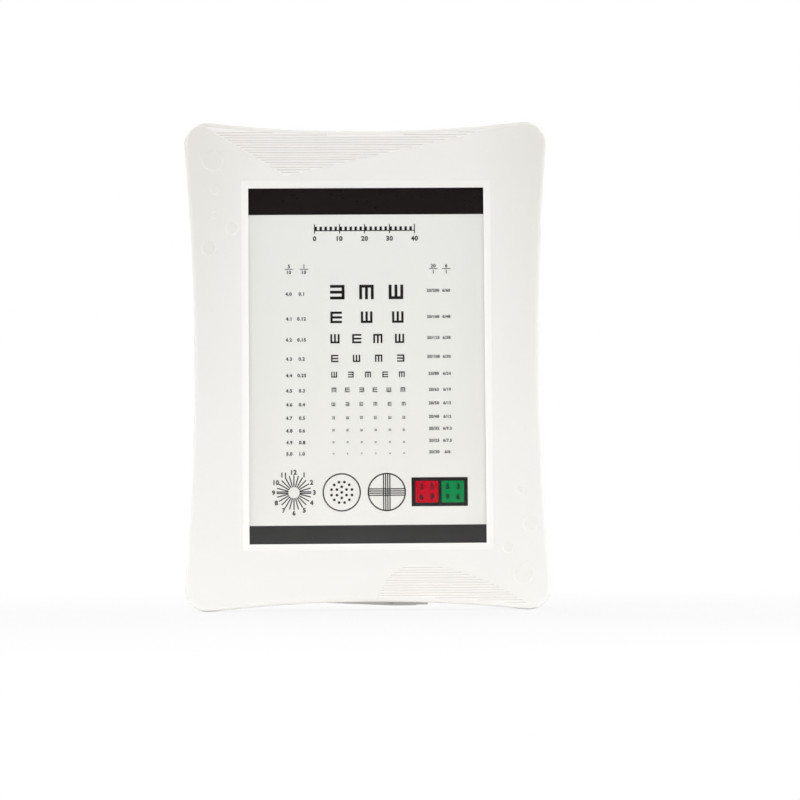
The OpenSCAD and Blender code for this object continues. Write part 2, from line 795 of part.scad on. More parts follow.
module lead(route, r, tint) {
    color(tint) tube(smooth_route(route, 3), r, 8, [0.12, 0.27, 0.95]);
}

module lead_inlet() {
    lead(INLET_ROUTE, 0.7, [0.15, 0.15, 0.16]);
}

module lead_switch() {
    lead(SWITCH_ROUTE, 0.7, [0.15, 0.25, 0.6]);
}

module lead_battery_plus() {
    lead(PLUS_ROUTE, 0.55, [0.75, 0.1, 0.1]);
}

module lead_battery_minus() {
    lead(MINUS_ROUTE, 0.55, [0.12, 0.12, 0.12]);
}

module lead_led_left() {
    lead(LEFT_LED_ROUTE, 0.7, [0.9, 0.9, 0.88]);
}

module lead_led_right() {
    lead(RIGHT_LED_ROUTE, 0.7, [0.9, 0.9, 0.88]);
}

module led_strip_left() {
    led_strip(-1);
}

module led_strip_right() {
    led_strip(1);
}

module leds_left() {
    leds(-1);
}

module leds_right() {
    leds(1);
}

front_bezel();
window_pane();
chart_film();
diffuser_sheet();
light_guide();
reflector_sheet();
backlight_tray();
led_strip_left();
led_strip_right();
leds_left();
leds_right();
tray_screws();
rear_cover();
case_screws();
hinge_pin();
stand_leg();
stand_foot_pad();
battery_door();
battery_cells();
battery_plates();
battery_springs();
driver_board();
driver_chip();
choke_coil();
smoothing_capacitor();
board_screws();
dc_inlet();
dc_inlet_pin();
switch_body();
switch_knob();
lead_inlet();
lead_switch();
lead_battery_plus();
lead_battery_minus();
lead_led_left();
lead_led_right();
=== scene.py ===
"""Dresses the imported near-vision chart light box: shells, window, printed film, leg, battery bay and electronics.

Sizes in the classes are millimetres in the part's own frame: X to the right, Y from the face to the back, Z up.
Meshes are made in millimetres and turned to metres when they become objects.
"""

import logging
import math
from dataclasses import dataclass, field
from enum import Enum
from typing import Any, Callable, Optional, Sequence, Union

import bmesh
import bpy
from mathutils import Matrix, Vector


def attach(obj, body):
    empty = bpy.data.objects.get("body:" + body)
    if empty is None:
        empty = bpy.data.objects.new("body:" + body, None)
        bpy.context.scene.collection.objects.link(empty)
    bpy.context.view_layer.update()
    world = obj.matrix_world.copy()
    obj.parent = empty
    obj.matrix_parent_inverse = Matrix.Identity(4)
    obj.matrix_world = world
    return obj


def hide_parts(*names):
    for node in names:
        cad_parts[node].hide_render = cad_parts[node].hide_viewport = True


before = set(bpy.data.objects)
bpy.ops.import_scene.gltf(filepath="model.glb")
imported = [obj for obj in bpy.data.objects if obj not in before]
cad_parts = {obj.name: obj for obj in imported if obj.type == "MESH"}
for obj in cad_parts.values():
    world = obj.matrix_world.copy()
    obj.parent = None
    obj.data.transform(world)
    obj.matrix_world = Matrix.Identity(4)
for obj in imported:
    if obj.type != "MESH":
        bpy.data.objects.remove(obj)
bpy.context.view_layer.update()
MM = 0.001
MID_Z = 97.5
log = logging.getLogger("light_box")

Point = tuple[float, float, float]
Flat = tuple[float, float]
Colour = tuple[float, float, float, float]

# Places that several pieces share.
FACE_Y, SEAM_Y, BACK_Y = -12.0, -2.0, 12.0  # the face, the shells' seam and the back
CASE_SCREW: Flat = (61.5, 86.0)  # X and Z from the case's middle
TRAY_EAR: Flat = (57.5, 62.0)  # X and Z from the case's middle
HINGE: Flat = (8.9, 121.0)  # Y and Z
INLET: Flat = (4.5, 62.0)  # Y and Z
SWITCH: Flat = (17.0, 3.4)  # X and Y
DOOR_TABS: Flat = (-15, 15)  # X
BOARD_HOLES: tuple[Flat, ...] = ((33, 77), (55, 77), (33, 111), (55, 111))  # X and Z


def tone(red: int, green: int, blue: int) -> Colour:
    """Turns a screen colour, 0 to 255 a channel, into the linear colour that shaders take.

    Args:
        red: Red channel.
        green: Green channel.
        blue: Blue channel.

    Returns:
        The linear colour with an alpha of one.
    """
    def linear(value: int) -> float:
        """Returns one channel as linear light."""
        share = value / 255
        return share / 12.92 if share <= 0.04045 else ((share + 0.055) / 1.055) ** 2.4

    return (linear(red), linear(green), linear(blue), 1.0)


# ---- Shader trees ----


class Link:
    """An output socket of a shader node that takes part in Python arithmetic by adding Math nodes."""

    def __init__(self, tree: "Tree", socket: bpy.types.NodeSocket) -> None:
        """Wraps one output socket of a node in the tree."""
        self.tree = tree
        self.socket = socket

    def out(self, key: Union[int, str]) -> "Link":
        """Returns another output of the same node, by index or name."""
        return Link(self.tree, self.socket.node.outputs[key])

    def maths(self, operation: str, first: "Value", second: "Value", clamp: bool = False) -> "Link":
        """Adds one Math node, whose result may be held between zero and one, and returns its output."""
        return self.tree.add("ShaderNodeMath", {"operation": operation, "use_clamp": clamp}, {0: first, 1: second})

    def __add__(self, other: "Value") -> "Link":
        """Returns self + other."""
        return self.maths("ADD", self, other)

    def __radd__(self, other: "Value") -> "Link":
        """Returns other + self."""
        return self.maths("ADD", other, self)

    def __sub__(self, other: "Value") -> "Link":
        """Returns self - other."""
        return self.maths("SUBTRACT", self, other)

    def __rsub__(self, other: "Value") -> "Link":
        """Returns other - self."""
        return self.maths("SUBTRACT", other, self)

    def __mul__(self, other: "Value") -> "Link":
        """Returns self * other."""
        return self.maths("MULTIPLY", self, other)

    def __rmul__(self, other: "Value") -> "Link":
        """Returns other * self."""
        return self.maths("MULTIPLY", other, self)

    def __gt__(self, other: "Value") -> "Link":
        """Returns one where self is greater than other, and zero elsewhere."""
        return self.maths("GREATER_THAN", self, other)

    def __lt__(self, other: "Value") -> "Link":
        """Returns one where self is less than other, and zero elsewhere."""
        return self.maths("LESS_THAN", self, other)

    def size(self) -> "Link":
        """Returns the absolute value."""
        return self.maths("ABSOLUTE", self, 0.0)

    def held(self) -> "Link":
        """Returns the value held between zero and one."""
        return self.maths("ADD", self, 0.0, clamp=True)


Value = Union[float, Link]


class Tree:
    """Builds the node tree of one material or world."""

    def __init__(self, owner: Union[bpy.types.Material, bpy.types.World]) -> None:
        """Clears the owner's tree.

        Args:
            owner: The material or world to build.
        """
        owner.use_nodes = True
        self.owner = owner
        self.nodes = owner.node_tree.nodes
        self.links = owner.node_tree.links
        self.nodes.clear()

    def add(
        self,
        kind: str,
        settings: Optional[dict[str, Any]] = None,
        sockets: Optional[dict[Union[int, str], Any]] = None,
    ) -> Link:
        """Adds any node, with its settings made first and its sockets filled next.

        Args:
            kind: The node's type.
            settings: Its properties.
            sockets: Values or links by the input's index or name.

        Returns:
            The node's first output, or a link to its first input if it has no output.
        """
        node = self.nodes.new(kind)
        for key, value in (settings or {}).items():
            setattr(node, key, value)
        for key, value in (sockets or {}).items():
            if isinstance(value, Link):
                self.links.new(value.socket, node.inputs[key])
            else:
                node.inputs[key].default_value = value
        return Link(self, (node.outputs or node.inputs)[0])

    def spot(self, kind: str = "Object") -> Link:
        """Returns the object's own coordinates, in metres, or those of another kind."""
        return self.add("ShaderNodeTexCoord").out(kind)

    def place(self, stretch: Point = (1.0, 1.0, 1.0)) -> Link:
        """Returns the object's own coordinates times a stretch on each axis."""
        return self.add("ShaderNodeVectorMath", {"operation": "MULTIPLY"}, {0: self.spot(), 1: stretch})

    def axis(self, name: str) -> Link:
        """Returns one of the object's own coordinates, "X", "Y" or "Z"."""
        return self.add("ShaderNodeSeparateXYZ", None, {0: self.spot()}).out(name)

    def noise(self, per_metre: float, detail: float = 3.0, stretch: Point = (1.0, 1.0, 1.0)) -> Link:
        """Returns smooth noise from zero to one, by its blobs in a metre, its finer octaves and its denser axes."""
        sockets = {"Vector": self.place(stretch), "Scale": per_metre, "Detail": detail}
        return self.add("ShaderNodeTexNoise", None, sockets)

    def cells(self, per_metre: float, feature: str, stretch: Point = (1.0, 1.0, 1.0)) -> Link:
        """Returns a cell pattern's distance, for the feature "F1" or "DISTANCE_TO_EDGE"."""
        sockets = {"Vector": self.place(stretch), "Scale": per_metre}
        return self.add("ShaderNodeTexVoronoi", {"feature": feature}, sockets).out("Distance")

    def ramp(self, value: Link, low: float, high: float) -> Link:
        """Returns zero below low, one above high and an even rise between them."""
        return self.add("ShaderNodeMapRange", {"clamp": True}, {0: value, 1: low, 2: high, 3: 0.0, 4: 1.0})

    def paint(self, base: Any, *coats: tuple[Any, Value]) -> Any:
        """Mixes further colours over a first one, in order.

        Args:
            base: The first colour or link.
            coats: Each further colour or link, with how much of it shows.

        Returns:
            The mixed colour.
        """
        for colour, share in coats:
            base = self.add("ShaderNodeMix", {"data_type": "RGBA"}, {0: share, 6: base, 7: colour}).out(2)
        return base

    def bump(self, height: Link, relief: float, strength: float = 1.0, under: Optional[Link] = None) -> Link:
        """Returns a normal from a height between zero and one.

        Args:
            height: The height map.
            relief: What a height of one stands for, in millimetres.
            strength: How strongly the normal turns.
            under: A normal to add the bump to.

        Returns:
            The new normal.
        """
        sockets: dict[Union[int, str], Any] = {"Height": height, "Distance": relief * MM, "Strength": strength}
        if under is not None:
            sockets["Normal"] = under
        return self.add("ShaderNodeBump", None, sockets)

    def body(self, **sockets: Any) -> Link:
        """Adds the Principled shader. Underscores in the names stand for spaces."""
        named = {key.replace("_", " "): value for key, value in sockets.items()}
        return self.add("ShaderNodeBsdfPrincipled", None, named)

    def show(self, shader: Link, kind: str = "ShaderNodeOutputMaterial") -> None:
        """Sends a shader to the tree's output."""
        self.add(kind, None, {"Surface": shader})

    def skin(self, base: Any, rough: Link, normal: Link, **others: Any) -> None:
        """Shows the Principled shader with a colour, a roughness that is held from zero to one, and a normal."""
        self.show(self.body(Base_Color=base, Roughness=rough.held(), Normal=normal, **others))


@dataclass(frozen=True)
class Finish:
    """What every finish has: a name, a colour and the way to turn into a material once."""

    name: str
    colour: Colour

    def material(self) -> bpy.types.Material:
        """Returns this finish's material, made on first use."""
        found = bpy.data.materials.get(self.name)
        if found is None:
            found = bpy.data.materials.new(self.name)
            found.diffuse_color = self.colour
            self.build(Tree(found))
        return found

    def build(self, tree: Tree) -> None:
        """Fills a material's tree. Each finish has its own way."""
        raise NotImplementedError


@dataclass(frozen=True)
class MouldedPlastic(Finish):
    """Injection-moulded plastic: faint flow marks, a fine matt grain, light scuffs, a little handling wear and,
    where an upper tone is given, painted shade that darkens it towards the top.
    """

    aged: Colour = tone(236, 229, 214)
    # Painted shade: the darker tone that the plastic fades to towards the top.
    upper: Optional[Colour] = None
    rough: float = 0.42
    grain: float = 0.35
    relief: float = 0.006
    wear: float = 0.5

    def build(self, tree: Tree) -> None:
        """Fills the tree of the plastic.

        Args:
            tree: The material's tree.
        """
        flow = tree.ramp(tree.noise(14, 4, (1.0, 1.0, 0.45)), 0.35, 0.75)
        cloud = tree.noise(55, 3)
        fleck = tree.ramp(tree.noise(900, 2), 0.66, 0.72)
        scuff = tree.ramp(tree.noise(60, 2, (0.6, 1.0, 22.0)), 0.70, 0.74) * tree.ramp(cloud, 0.5, 0.62)
        base = tree.paint(
            self.ground(tree),
            (self.aged, flow * (0.35 * self.wear) + cloud * (0.2 * self.wear)),
            (tone(250, 249, 246), scuff * (0.30 * self.wear)),
            (tone(120, 112, 100), fleck * (0.05 * self.wear)),
        )
        gloss = cloud * 0.16 + flow * 0.06 + scuff * (0.12 * self.wear) + (self.rough - 0.11)
        matt = tree.noise(1000 / self.grain, 2)
        normal = tree.bump(matt, self.relief, 0.7, tree.bump(tree.noise(120, 2), 0.02, 0.25))
        tree.skin(base, gloss, normal, IOR=1.5)

    def ground(self, tree: Tree) -> Any:
        """Returns the plain colour under the wear, with painted shade that darkens it towards the top where an upper
        tone is given.
        """
        if self.upper is None:
            return self.colour
        return tree.paint(self.colour, (self.upper, tree.ramp(tree.axis("Z"), 0.07, 0.185)))


@dataclass(frozen=True)
class GroovedPlastic(MouldedPlastic):
    """Moulded plastic of the face: a painted sheen lightens its middle, painted highlights lighten the window's
    sloping border and the ribs, and dust with painted shade darkens the grooves of its two ribbed panels.

    Its places are in metres, as a shader's coordinates are.
    """

    # Partly dust and partly painted shade: the tone that darkens the panels' grooves.
    dust: Colour = tone(212, 202, 192)
    # Painted highlight: the pale tone of the sheen, of the window's sloping border and of the ribs.
    clean: Colour = tone(255, 254, 252)
    # Painted sheen: how much lighter the middle of the face is. It fades out towards the sides over the next span
    # and comes in up the height over rise.
    fresh: float = 0.55
    handled: Flat = (0.042, 0.066)
    rise: Flat = (0.02, 0.12)
    # Half sizes of the window's sloping border, which gets a painted highlight.
    border: Flat = (0.0497, 0.0737)
    # Depths over which the panels' ribs take a painted highlight.
    rib: Flat = (-0.0119, -0.0118)
    # Depths over which the grooves take dust and painted shade.
    groove: Flat = (-0.01162, -0.01152)
    start: float = 0.0755
    slant: Flat = (1.61, 0.0895)
    strip: Flat = (0.0921, 0.879)

    def ground(self, tree: Tree) -> Any:
        """Mixes into the plain colour a painted sheen in the middle, painted highlights on the window's border and
        the ribs, and dust with painted shade where a panel is deep.

        Args:
            tree: The material's tree.

        Returns:
            The mixed colour.
        """
        depth, height = tree.axis("Y"), tree.axis("Z")
        side, away = tree.axis("X").size(), (height - MID_Z * MM).size()
        # Painted sheen: lighter in the middle, fading towards the sides and the bottom.
        fresh = (self.fresh - tree.ramp(side, *self.handled) * self.fresh) * tree.ramp(height, *self.rise)
        # The window's sloping border, for a painted highlight.
        lip = (side < self.border[0]) * (away < self.border[1])
        panel = (away > self.start) * (away * self.slant[0] - side > self.slant[1])
        panel = panel * (away - side * side * self.strip[1] < self.strip[0])
        patch = tree.noise(160, 2) * 0.3 + 0.7
        return tree.paint(
            super().ground(tree),
            # Painted sheen in the middle of the face.
            (self.clean, fresh),
            # Painted highlight on the window's sloping border.
            (self.clean, lip * 0.8),
            # Painted highlight on the panels' ribs.
            (self.clean, panel * tree.ramp(depth, *self.rib)),
            # Dust and painted shade in the grooves, patchy.
            (self.dust, panel * tree.ramp(depth, *self.groove) * patch),
        )


@dataclass(frozen=True)
class ClearSheet(Finish):
    """Clear acrylic sheet: it mirrors by its angle and carries fine dust and a few hair scratches."""

    dust: float = 0.02

    def build(self, tree: Tree) -> None:
        """Fills the tree of the sheet.

        Args:
            tree: The material's tree.
        """
        smear = tree.ramp(tree.noise(22, 3), 0.4, 0.75)
        hair = tree.ramp(tree.noise(50, 1, (1.0, 1.0, 30.0)), 0.735, 0.75)
        speck = tree.ramp(tree.noise(1500, 1), 0.76, 0.80)
        rough = smear * 0.07 + hair * 0.15 + 0.04
        mirror = tree.body(Base_Color=self.colour, Metallic=1.0, Roughness=rough.held())
        clear = tree.add("ShaderNodeBsdfTransparent", None, {0: (0.999, 0.999, 0.997, 1.0)})
        inside = tree.add("ShaderNodeNewGeometry").out("Backfacing")
        share = tree.add("ShaderNodeFresnel", None, {"IOR": 1.45}) * 1.2 + speck * self.dust + hair * 0.02
        tree.show(tree.add("ShaderNodeMixShader", None, {0: share.held() * (1 - inside), 1: clear, 2: mirror}))


@dataclass(frozen=True)
class FilmStock(Finish):
    """White translucent film or sheet: faint fibres, an even satin and a painted light tone at its foot that gives
    way to its own colour up its height.
    """

    # Painted light: the lighter, warmer tone at the sheet's foot.
    low: Colour = tone(255, 253, 248)
    rough: float = 0.38
    fibre: float = 0.5

    def build(self, tree: Tree) -> None:
        """Fills the tree of the sheet.

        Args:
            tree: The material's tree.
        """
        # Painted light: the foot's tone gives way to the sheet's own colour up the height.
        rise = tree.ramp(tree.axis("Z"), 0.02, 0.175)
        strand = tree.noise(420, 3, (1.0, 1.0, 3.5))
        base = tree.paint(
            self.low,
            (self.colour, rise),
            (tone(214, 214, 208), tree.ramp(strand, 0.55, 0.9) * (0.22 * self.fibre)),
            (tone(250, 250, 248), tree.ramp(tree.noise(35, 2), 0.45, 0.8) * 0.25),
        )
        tree.skin(base, tree.noise(80, 2) * 0.1 + (self.rough - 0.05), tree.bump(strand, 0.004, 0.5))


@dataclass(frozen=True)
class PrintInk(Finish):
    """Screen-printed ink: dense, with pinholes and a slightly uneven film of varnish."""

    thin: Colour = tone(42, 38, 36)
    rough: float = 0.30
    ior: float = 1.5

    def build(self, tree: Tree) -> None:
        """Fills the tree of the ink.

        Args:
            tree: The material's tree.
        """
        mottle = tree.noise(700, 3)
        pin = tree.ramp(tree.noise(5200, 1), 0.74, 0.78)
        base = tree.paint(
            self.colour, (self.thin, tree.ramp(mottle, 0.5, 0.95) * 0.30), (tone(205, 203, 198), pin * 0.08)
        )
        tree.skin(base, mottle * 0.14 + (self.rough - 0.07), tree.bump(mottle, 0.002, 0.4), IOR=self.ior)


@dataclass(frozen=True)
class BareMetal(Finish):
    """Plated or plain metal: drawn along one axis, with dull spots and a trace of tarnish."""

    dull: Colour = tone(120, 112, 98)
    rough: float = 0.28
    drawn: Point = (1.0, 1.0, 1.0)

    def build(self, tree: Tree) -> None:
        """Fills the tree of the metal.

        Args:
            tree: The material's tree.
        """
        line = tree.noise(900, 2, self.drawn)
        spot = tree.ramp(tree.noise(380, 4), 0.52, 0.78)
        base = tree.paint(
            self.colour, (self.dull, spot * 0.35), (tone(244, 243, 240), tree.ramp(line, 0.6, 0.8) * 0.15)
        )
        gloss = line * 0.16 + spot * 0.22 + (self.rough - 0.08)
        tree.skin(base, gloss, tree.bump(line, 0.004, 0.5), Metallic=1.0 - spot * 0.25)


@dataclass(frozen=True)
class SoftRubber(Finish):
    """Rubber: matt, with a pebbled skin, pale bloom and rubbed high spots."""

    bloom: Colour = tone(190, 190, 185)
    rough: float = 0.78

    def build(self, tree: Tree) -> None:
        """Fills the tree of the rubber.

        Args:
            tree: The material's tree.
        """
        pebble = tree.cells(2600, "F1")
        haze = tree.ramp(tree.noise(160, 4), 0.42, 0.8)
        rub = tree.ramp(tree.noise(420, 2, (0.4, 1.0, 3.0)), 0.62, 0.75)
        base = tree.paint(self.colour, (self.bloom, haze * 0.35 + rub * 0.15))
        tree.skin(base, haze * 0.12 + (self.rough - rub * 0.15), tree.bump(pebble, 0.03, 0.5))


@dataclass(frozen=True)
class ShrinkSleeve(Finish):
    """Shrunk plastic sleeve, as on a cell, a capacitor or a lead: glossy, with fine wrinkles, rubbed lines and a
    painted highlight on the wrinkles' crests.
    """

    rub: Colour = tone(150, 150, 150)
    rough: float = 0.30
    along: Point = (0.3, 1.0, 1.0)

    def build(self, tree: Tree) -> None:
        """Fills the tree of the sleeve.

        Args:
            tree: The material's tree.
        """
        wrinkle = tree.noise(500, 3, self.along)
        worn = tree.ramp(tree.noise(300, 3), 0.58, 0.75)
        # Painted highlight on the wrinkles' crests.
        shine = tree.ramp(wrinkle, 0.66, 0.8) * 0.06
        base = tree.paint(self.colour, (self.rub, worn * 0.18), (tone(255, 255, 255), shine))
        tree.skin(base, wrinkle * 0.12 + worn * 0.2 + (self.rough - 0.06), tree.bump(wrinkle, 0.02, 0.5))


@dataclass(frozen=True)
class BoardLaminate(Finish):
    """Glass-cloth circuit board under solder resist: the weave shows through, and tracks run under the resist."""

    track: Colour = tone(60, 128, 72)
    rough: float = 0.34
    threads: float = 700.0

    def build(self, tree: Tree) -> None:
        """Fills the tree of the board.

        Args:
            tree: The material's tree.
        """
        sockets = {"Vector": tree.spot(), "Scale": self.threads}
        across, up = (
            tree.add("ShaderNodeTexWave", {"wave_type": "BANDS", "bands_direction": way}, sockets) for way in "XZ"
        )
        weave = across * up
        lane = tree.ramp(tree.cells(190, "DISTANCE_TO_EDGE", (1.0, 0.0, 1.6)), 0.05, 0.09)
        base = tree.paint(self.track, (self.colour, lane), (tone(96, 150, 92), weave * 0.12))
        normal = tree.bump(lane, 0.03, 0.4, tree.bump(weave, 0.006, 0.4))
        tree.skin(base, tree.noise(240, 2) * 0.12 + (self.rough - 0.06), normal)


@dataclass(frozen=True)
class LampGel(Finish):
    """Phosphor gel of a small lamp: yellow, granular, in a pale ring."""

    def build(self, tree: Tree) -> None:
        """Fills the tree of the lamp.

        Args:
            tree: The material's tree.
        """
        grit = tree.noise(4200, 2)
        base = tree.paint(self.colour, (tone(250, 238, 176), tree.ramp(grit, 0.4, 0.7)))
        tree.skin(base, grit * 0.2 + 0.35, tree.bump(grit, 0.01, 0.5))


# The face's and the back's upper tones are painted shade, darker towards the top.
WHITE = GroovedPlastic("moulded_white", tone(247, 246, 243), aged=tone(242, 237, 226), upper=tone(238, 236, 231))
WHITE_BACK = MouldedPlastic(
    "moulded_white_back", tone(248, 246, 241), upper=tone(242, 240, 235), rough=0.5, relief=0.010
)
LEG_WHITE = MouldedPlastic("moulded_white_leg", tone(241, 239, 233), rough=0.46, wear=0.9)
CAP_GREY = MouldedPlastic("moulded_grey_cap", tone(200, 199, 195), aged=tone(182, 179, 172), rough=0.5, wear=0.8)
JET = MouldedPlastic("moulded_black", tone(34, 34, 36), aged=tone(52, 51, 50), rough=0.45, wear=0.6)
CHIP = MouldedPlastic("moulded_chip", tone(38, 38, 40), aged=tone(58, 58, 60), rough=0.6, grain=0.12, wear=0.7)
PANE = ClearSheet("acrylic_pane", tone(250, 252, 252))
GUIDE = ClearSheet("acrylic_guide", tone(246, 250, 250), dust=0.05)
FILM = FilmStock("film_white", tone(252, 253, 249))
DIFFUSER = FilmStock("diffuser_opal", tone(244, 245, 243), rough=0.55, fibre=0.8)
STRIP = FilmStock("strip_resist_white", tone(240, 241, 234), rough=0.3, fibre=0.3)
INK = PrintInk("ink_black", tone(14, 6, 4), thin=tone(36, 29, 27))
INK_RED = PrintInk("ink_red", tone(206, 0, 34), thin=tone(212, 0, 42), ior=1.12)
INK_GREEN = PrintInk("ink_green", tone(0, 148, 80), thin=tone(0, 158, 92), ior=1.12)
REFLECTOR = BareMetal("foil_silver", tone(226, 228, 230), rough=0.2)
TRAY = BareMetal("plated_sheet", tone(196, 200, 204), rough=0.36, drawn=(0.2, 1.0, 4.0))
SCREW = BareMetal("screw_steel", tone(176, 178, 182), rough=0.3)
PIN = BareMetal("pin_steel", tone(190, 192, 194), rough=0.24, drawn=(0.2, 3.0, 3.0))
NICKEL = BareMetal("contact_nickel", tone(206, 204, 196), rough=0.26)
BRASS = BareMetal("pin_brass", tone(214, 196, 140), rough=0.22, dull=tone(140, 110, 60), drawn=(0.2, 3.0, 3.0))
CAN = BareMetal("capacitor_can", tone(186, 190, 196), rough=0.3)
PAD = SoftRubber("pad_rubber", tone(234, 233, 228), bloom=tone(240, 239, 234))
SLEEVE = ShrinkSleeve("cell_sleeve", tone(72, 80, 92), rub=tone(168, 172, 178))
BOARD = BoardLaminate("board_green", tone(28, 92, 48))
COPPER_BAND = ShrinkSleeve("cell_band", tone(172, 122, 78), rub=tone(206, 170, 130))
COPPER = BareMetal("winding_copper", tone(190, 112, 70), rough=0.3, dull=tone(110, 60, 36))
FERRITE = SoftRubber("ferrite_grey", tone(70, 70, 74), bloom=tone(110, 110, 112), rough=0.6)
GEL = LampGel("lamp_gel", tone(240, 214, 96))
LEAD_BLACK = ShrinkSleeve("lead_skin_black", tone(38, 38, 40), rough=0.42)
LEAD_BLUE = ShrinkSleeve("lead_skin_blue", tone(40, 68, 158), rough=0.42)
LEAD_RED = ShrinkSleeve("lead_skin_red", tone(190, 28, 34), rough=0.42)
LEAD_WHITE = ShrinkSleeve("lead_skin_white", tone(232, 232, 226), rub=tone(196, 192, 182), rough=0.42)


# ---- Meshes ----


class Axis(Enum):
    """The direction that a turned part's axis runs in, as the order of its three coordinates."""

    X = (1, 2, 0)
    Y = (0, 2, 1)
    Z = (0, 1, 2)


class Solid:
    """A closed mesh in millimetres. Plus joins another to it, and minus cuts another out of it."""

    def __init__(self, points: Sequence[Sequence[float]], faces: Sequence[Sequence[int]]) -> None:
        """Makes the mesh, with its faces turned outwards.

        Args:
            points: The corners.
            faces: Each face as a list of corner numbers.
        """
        self.mesh = bpy.data.meshes.new("blank")
        self.mesh.from_pydata([tuple(p) for p in points], [], [list(f) for f in faces])
        self.edit(lambda shape: bmesh.ops.recalc_face_normals(shape, faces=shape.faces))

    def edit(self, change: Callable[[bmesh.types.BMesh], Any]) -> "Solid":
        """Runs a change on the mesh through bmesh.

        Args:
            change: What to do with the open mesh.

        Returns:
            This solid.
        """
        shape = bmesh.new()
        shape.from_mesh(self.mesh)
        change(shape)
        shape.to_mesh(self.mesh)
        shape.free()
        return self

    @classmethod
    def loft(cls, rings: Sequence[Sequence[Point]], joined: bool = False) -> "Solid":
        """Skins rings of equal length.

        Args:
            rings: The rings in order.
            joined: Whether the last ring meets the first, with no end caps.

        Returns:
            The solid.
        """
        count, rows = len(rings[0]), len(rings)
        faces: list[list[int]] = []
        for row in range(rows if joined else rows - 1):
            low, high = row * count, (row + 1) % rows * count
            faces += [[low + i, low + (i + 1) % count, high + (i + 1) % count, high + i] for i in range(count)]
        if not joined:
            faces += [list(range(count))[::-1], [(rows - 1) * count + i for i in range(count)]]
        return cls([p for ring in rings for p in ring], faces)

    @classmethod
    def prism(cls, outline: Sequence[Flat], y0: float, y1: float, grow: float = 0.0) -> "Solid":
        """Stands a flat X and Z outline up from y0 to y1, made wider at y0 by grow on every side."""
        start = widened(outline, grow) if grow else outline
        return cls.loft([[(x, y0, z) for x, z in start], [(x, y1, z) for x, z in outline]])

    @classmethod
    def box(cls, x0: float, x1: float, y0: float, y1: float, z0: float, z1: float) -> "Solid":
        """Returns a block between two corners."""
        return cls.prism([(x0, z0), (x1, z0), (x1, z1), (x0, z1)], y0, y1)

    @classmethod
    def turned(cls, profile: Sequence[Flat], axis: Axis, centre: Point, steps: int = 48) -> "Solid":
        """Turns a profile round an axis.

        Args:
            profile: Pairs of distance along the axis and radius. A radius of zero at an end closes it in a point.
            axis: The direction of the axis.
            centre: Where the axis starts.
            steps: Number of segments.

        Returns:
            The solid.
        """
        rings = []
        for along, radius in profile:
            ring = []
            for i in range(steps):
                angle = 2 * math.pi * i / steps
                local = (max(radius, 1e-4) * math.cos(angle), max(radius, 1e-4) * math.sin(angle), along)
                ring.append(tuple(local[axis.value.index(k)] + centre[k] for k in range(3)))
            rings.append(ring)
        return cls.loft(rings)

    @classmethod
    def tube(cls, path: Sequence[Point], radius: float, sides: int = 12) -> "Solid":
        """Runs a round tube along a path.

        Args:
            path: Points on the centre line.
            radius: The tube's radius.
            sides: Number of sides.

        Returns:
            The solid.
        """
        points = [Vector(p) for p in path]
        side = Vector((0.12, 0.27, 0.95))
        rings = []
        for i, point in enumerate(points):
            ahead = (points[min(i + 1, len(points) - 1)] - points[max(i - 1, 0)]).normalized()
            side = (side - ahead * side.dot(ahead)).normalized()
            across = ahead.cross(side)
            rings.append([
                tuple(point + radius * (math.cos(a) * side + math.sin(a) * across))
                for a in (2 * math.pi * k / sides for k in range(sides))
            ])
        return cls.loft(rings)

    @classmethod
    def group(cls, solids: Sequence["Solid"]) -> "Solid":
        """Joins solids that don't touch one another.

        Args:
            solids: The solids.

        Returns:
            The first of them, with the others in its mesh.
        """
        def join(shape: bmesh.types.BMesh) -> None:
            """Copies the other meshes in."""
            for other in solids[1:]:
                shape.from_mesh(other.mesh)
        return solids[0].edit(join)

    def moved(self, x: float = 0.0, y: float = 0.0, z: float = 0.0) -> "Solid":
        """Shifts the solid."""
        self.mesh.transform(Matrix.Translation((x, y, z)))
        return self

    def flipped(self, axis: int) -> "Solid":
        """Mirrors the solid across a plane through the origin.

        Args:
            axis: The axis that stands square to the plane, 0 for X to 2 for Z.

        Returns:
            This solid.
        """
        scale = [1.0, 1.0, 1.0]
        scale[axis] = -1.0
        self.mesh.transform(Matrix.Diagonal((*scale, 1.0)))
        self.mesh.flip_normals()
        return self

    def copy(self) -> "Solid":
        """Returns a copy of the solid."""
        twin = Solid.__new__(Solid)
        twin.mesh = self.mesh.copy()
        return twin

    def worked(self, kind: str, settings: dict[str, Any], tool: Optional["Solid"] = None) -> "Solid":
        """Applies one modifier to the mesh.

        Args:
            kind: The modifier's type.
            settings: Its properties.
            tool: A second solid that the modifier works with.

        Returns:
            This solid.
        """
        made = [placed("bench", solid.mesh) for solid in (self, tool) if solid is not None]
        modifier = made[0].modifiers.new("step", kind)
        for key, value in settings.items():
            setattr(modifier, key, value)
        if tool is not None:
            modifier.object = made[1]
        depsgraph = bpy.context.evaluated_depsgraph_get()
        result = bpy.data.meshes.new_from_object(made[0].evaluated_get(depsgraph))
        for item in made:
            bpy.data.objects.remove(item)
        self.mesh = result
        return self

    def __add__(self, other: "Solid") -> "Solid":
        """Returns the union with another solid."""
        return self.worked("BOOLEAN", {"operation": "UNION", "solver": "MANIFOLD"}, other)

    def __sub__(self, other: "Solid") -> "Solid":
        """Returns what is left after another solid is cut out."""
        return self.worked("BOOLEAN", {"operation": "DIFFERENCE", "solver": "MANIFOLD"}, other)

    def eased(self, width: float, segments: int = 2, degrees: float = 40.0) -> "Solid":
        """Rounds every edge that is sharper than an angle, over a width and in some segments."""
        limit = {"limit_method": "ANGLE", "angle_limit": math.radians(degrees)}
        return self.worked("BEVEL", {"width": width, "segments": segments, **limit})

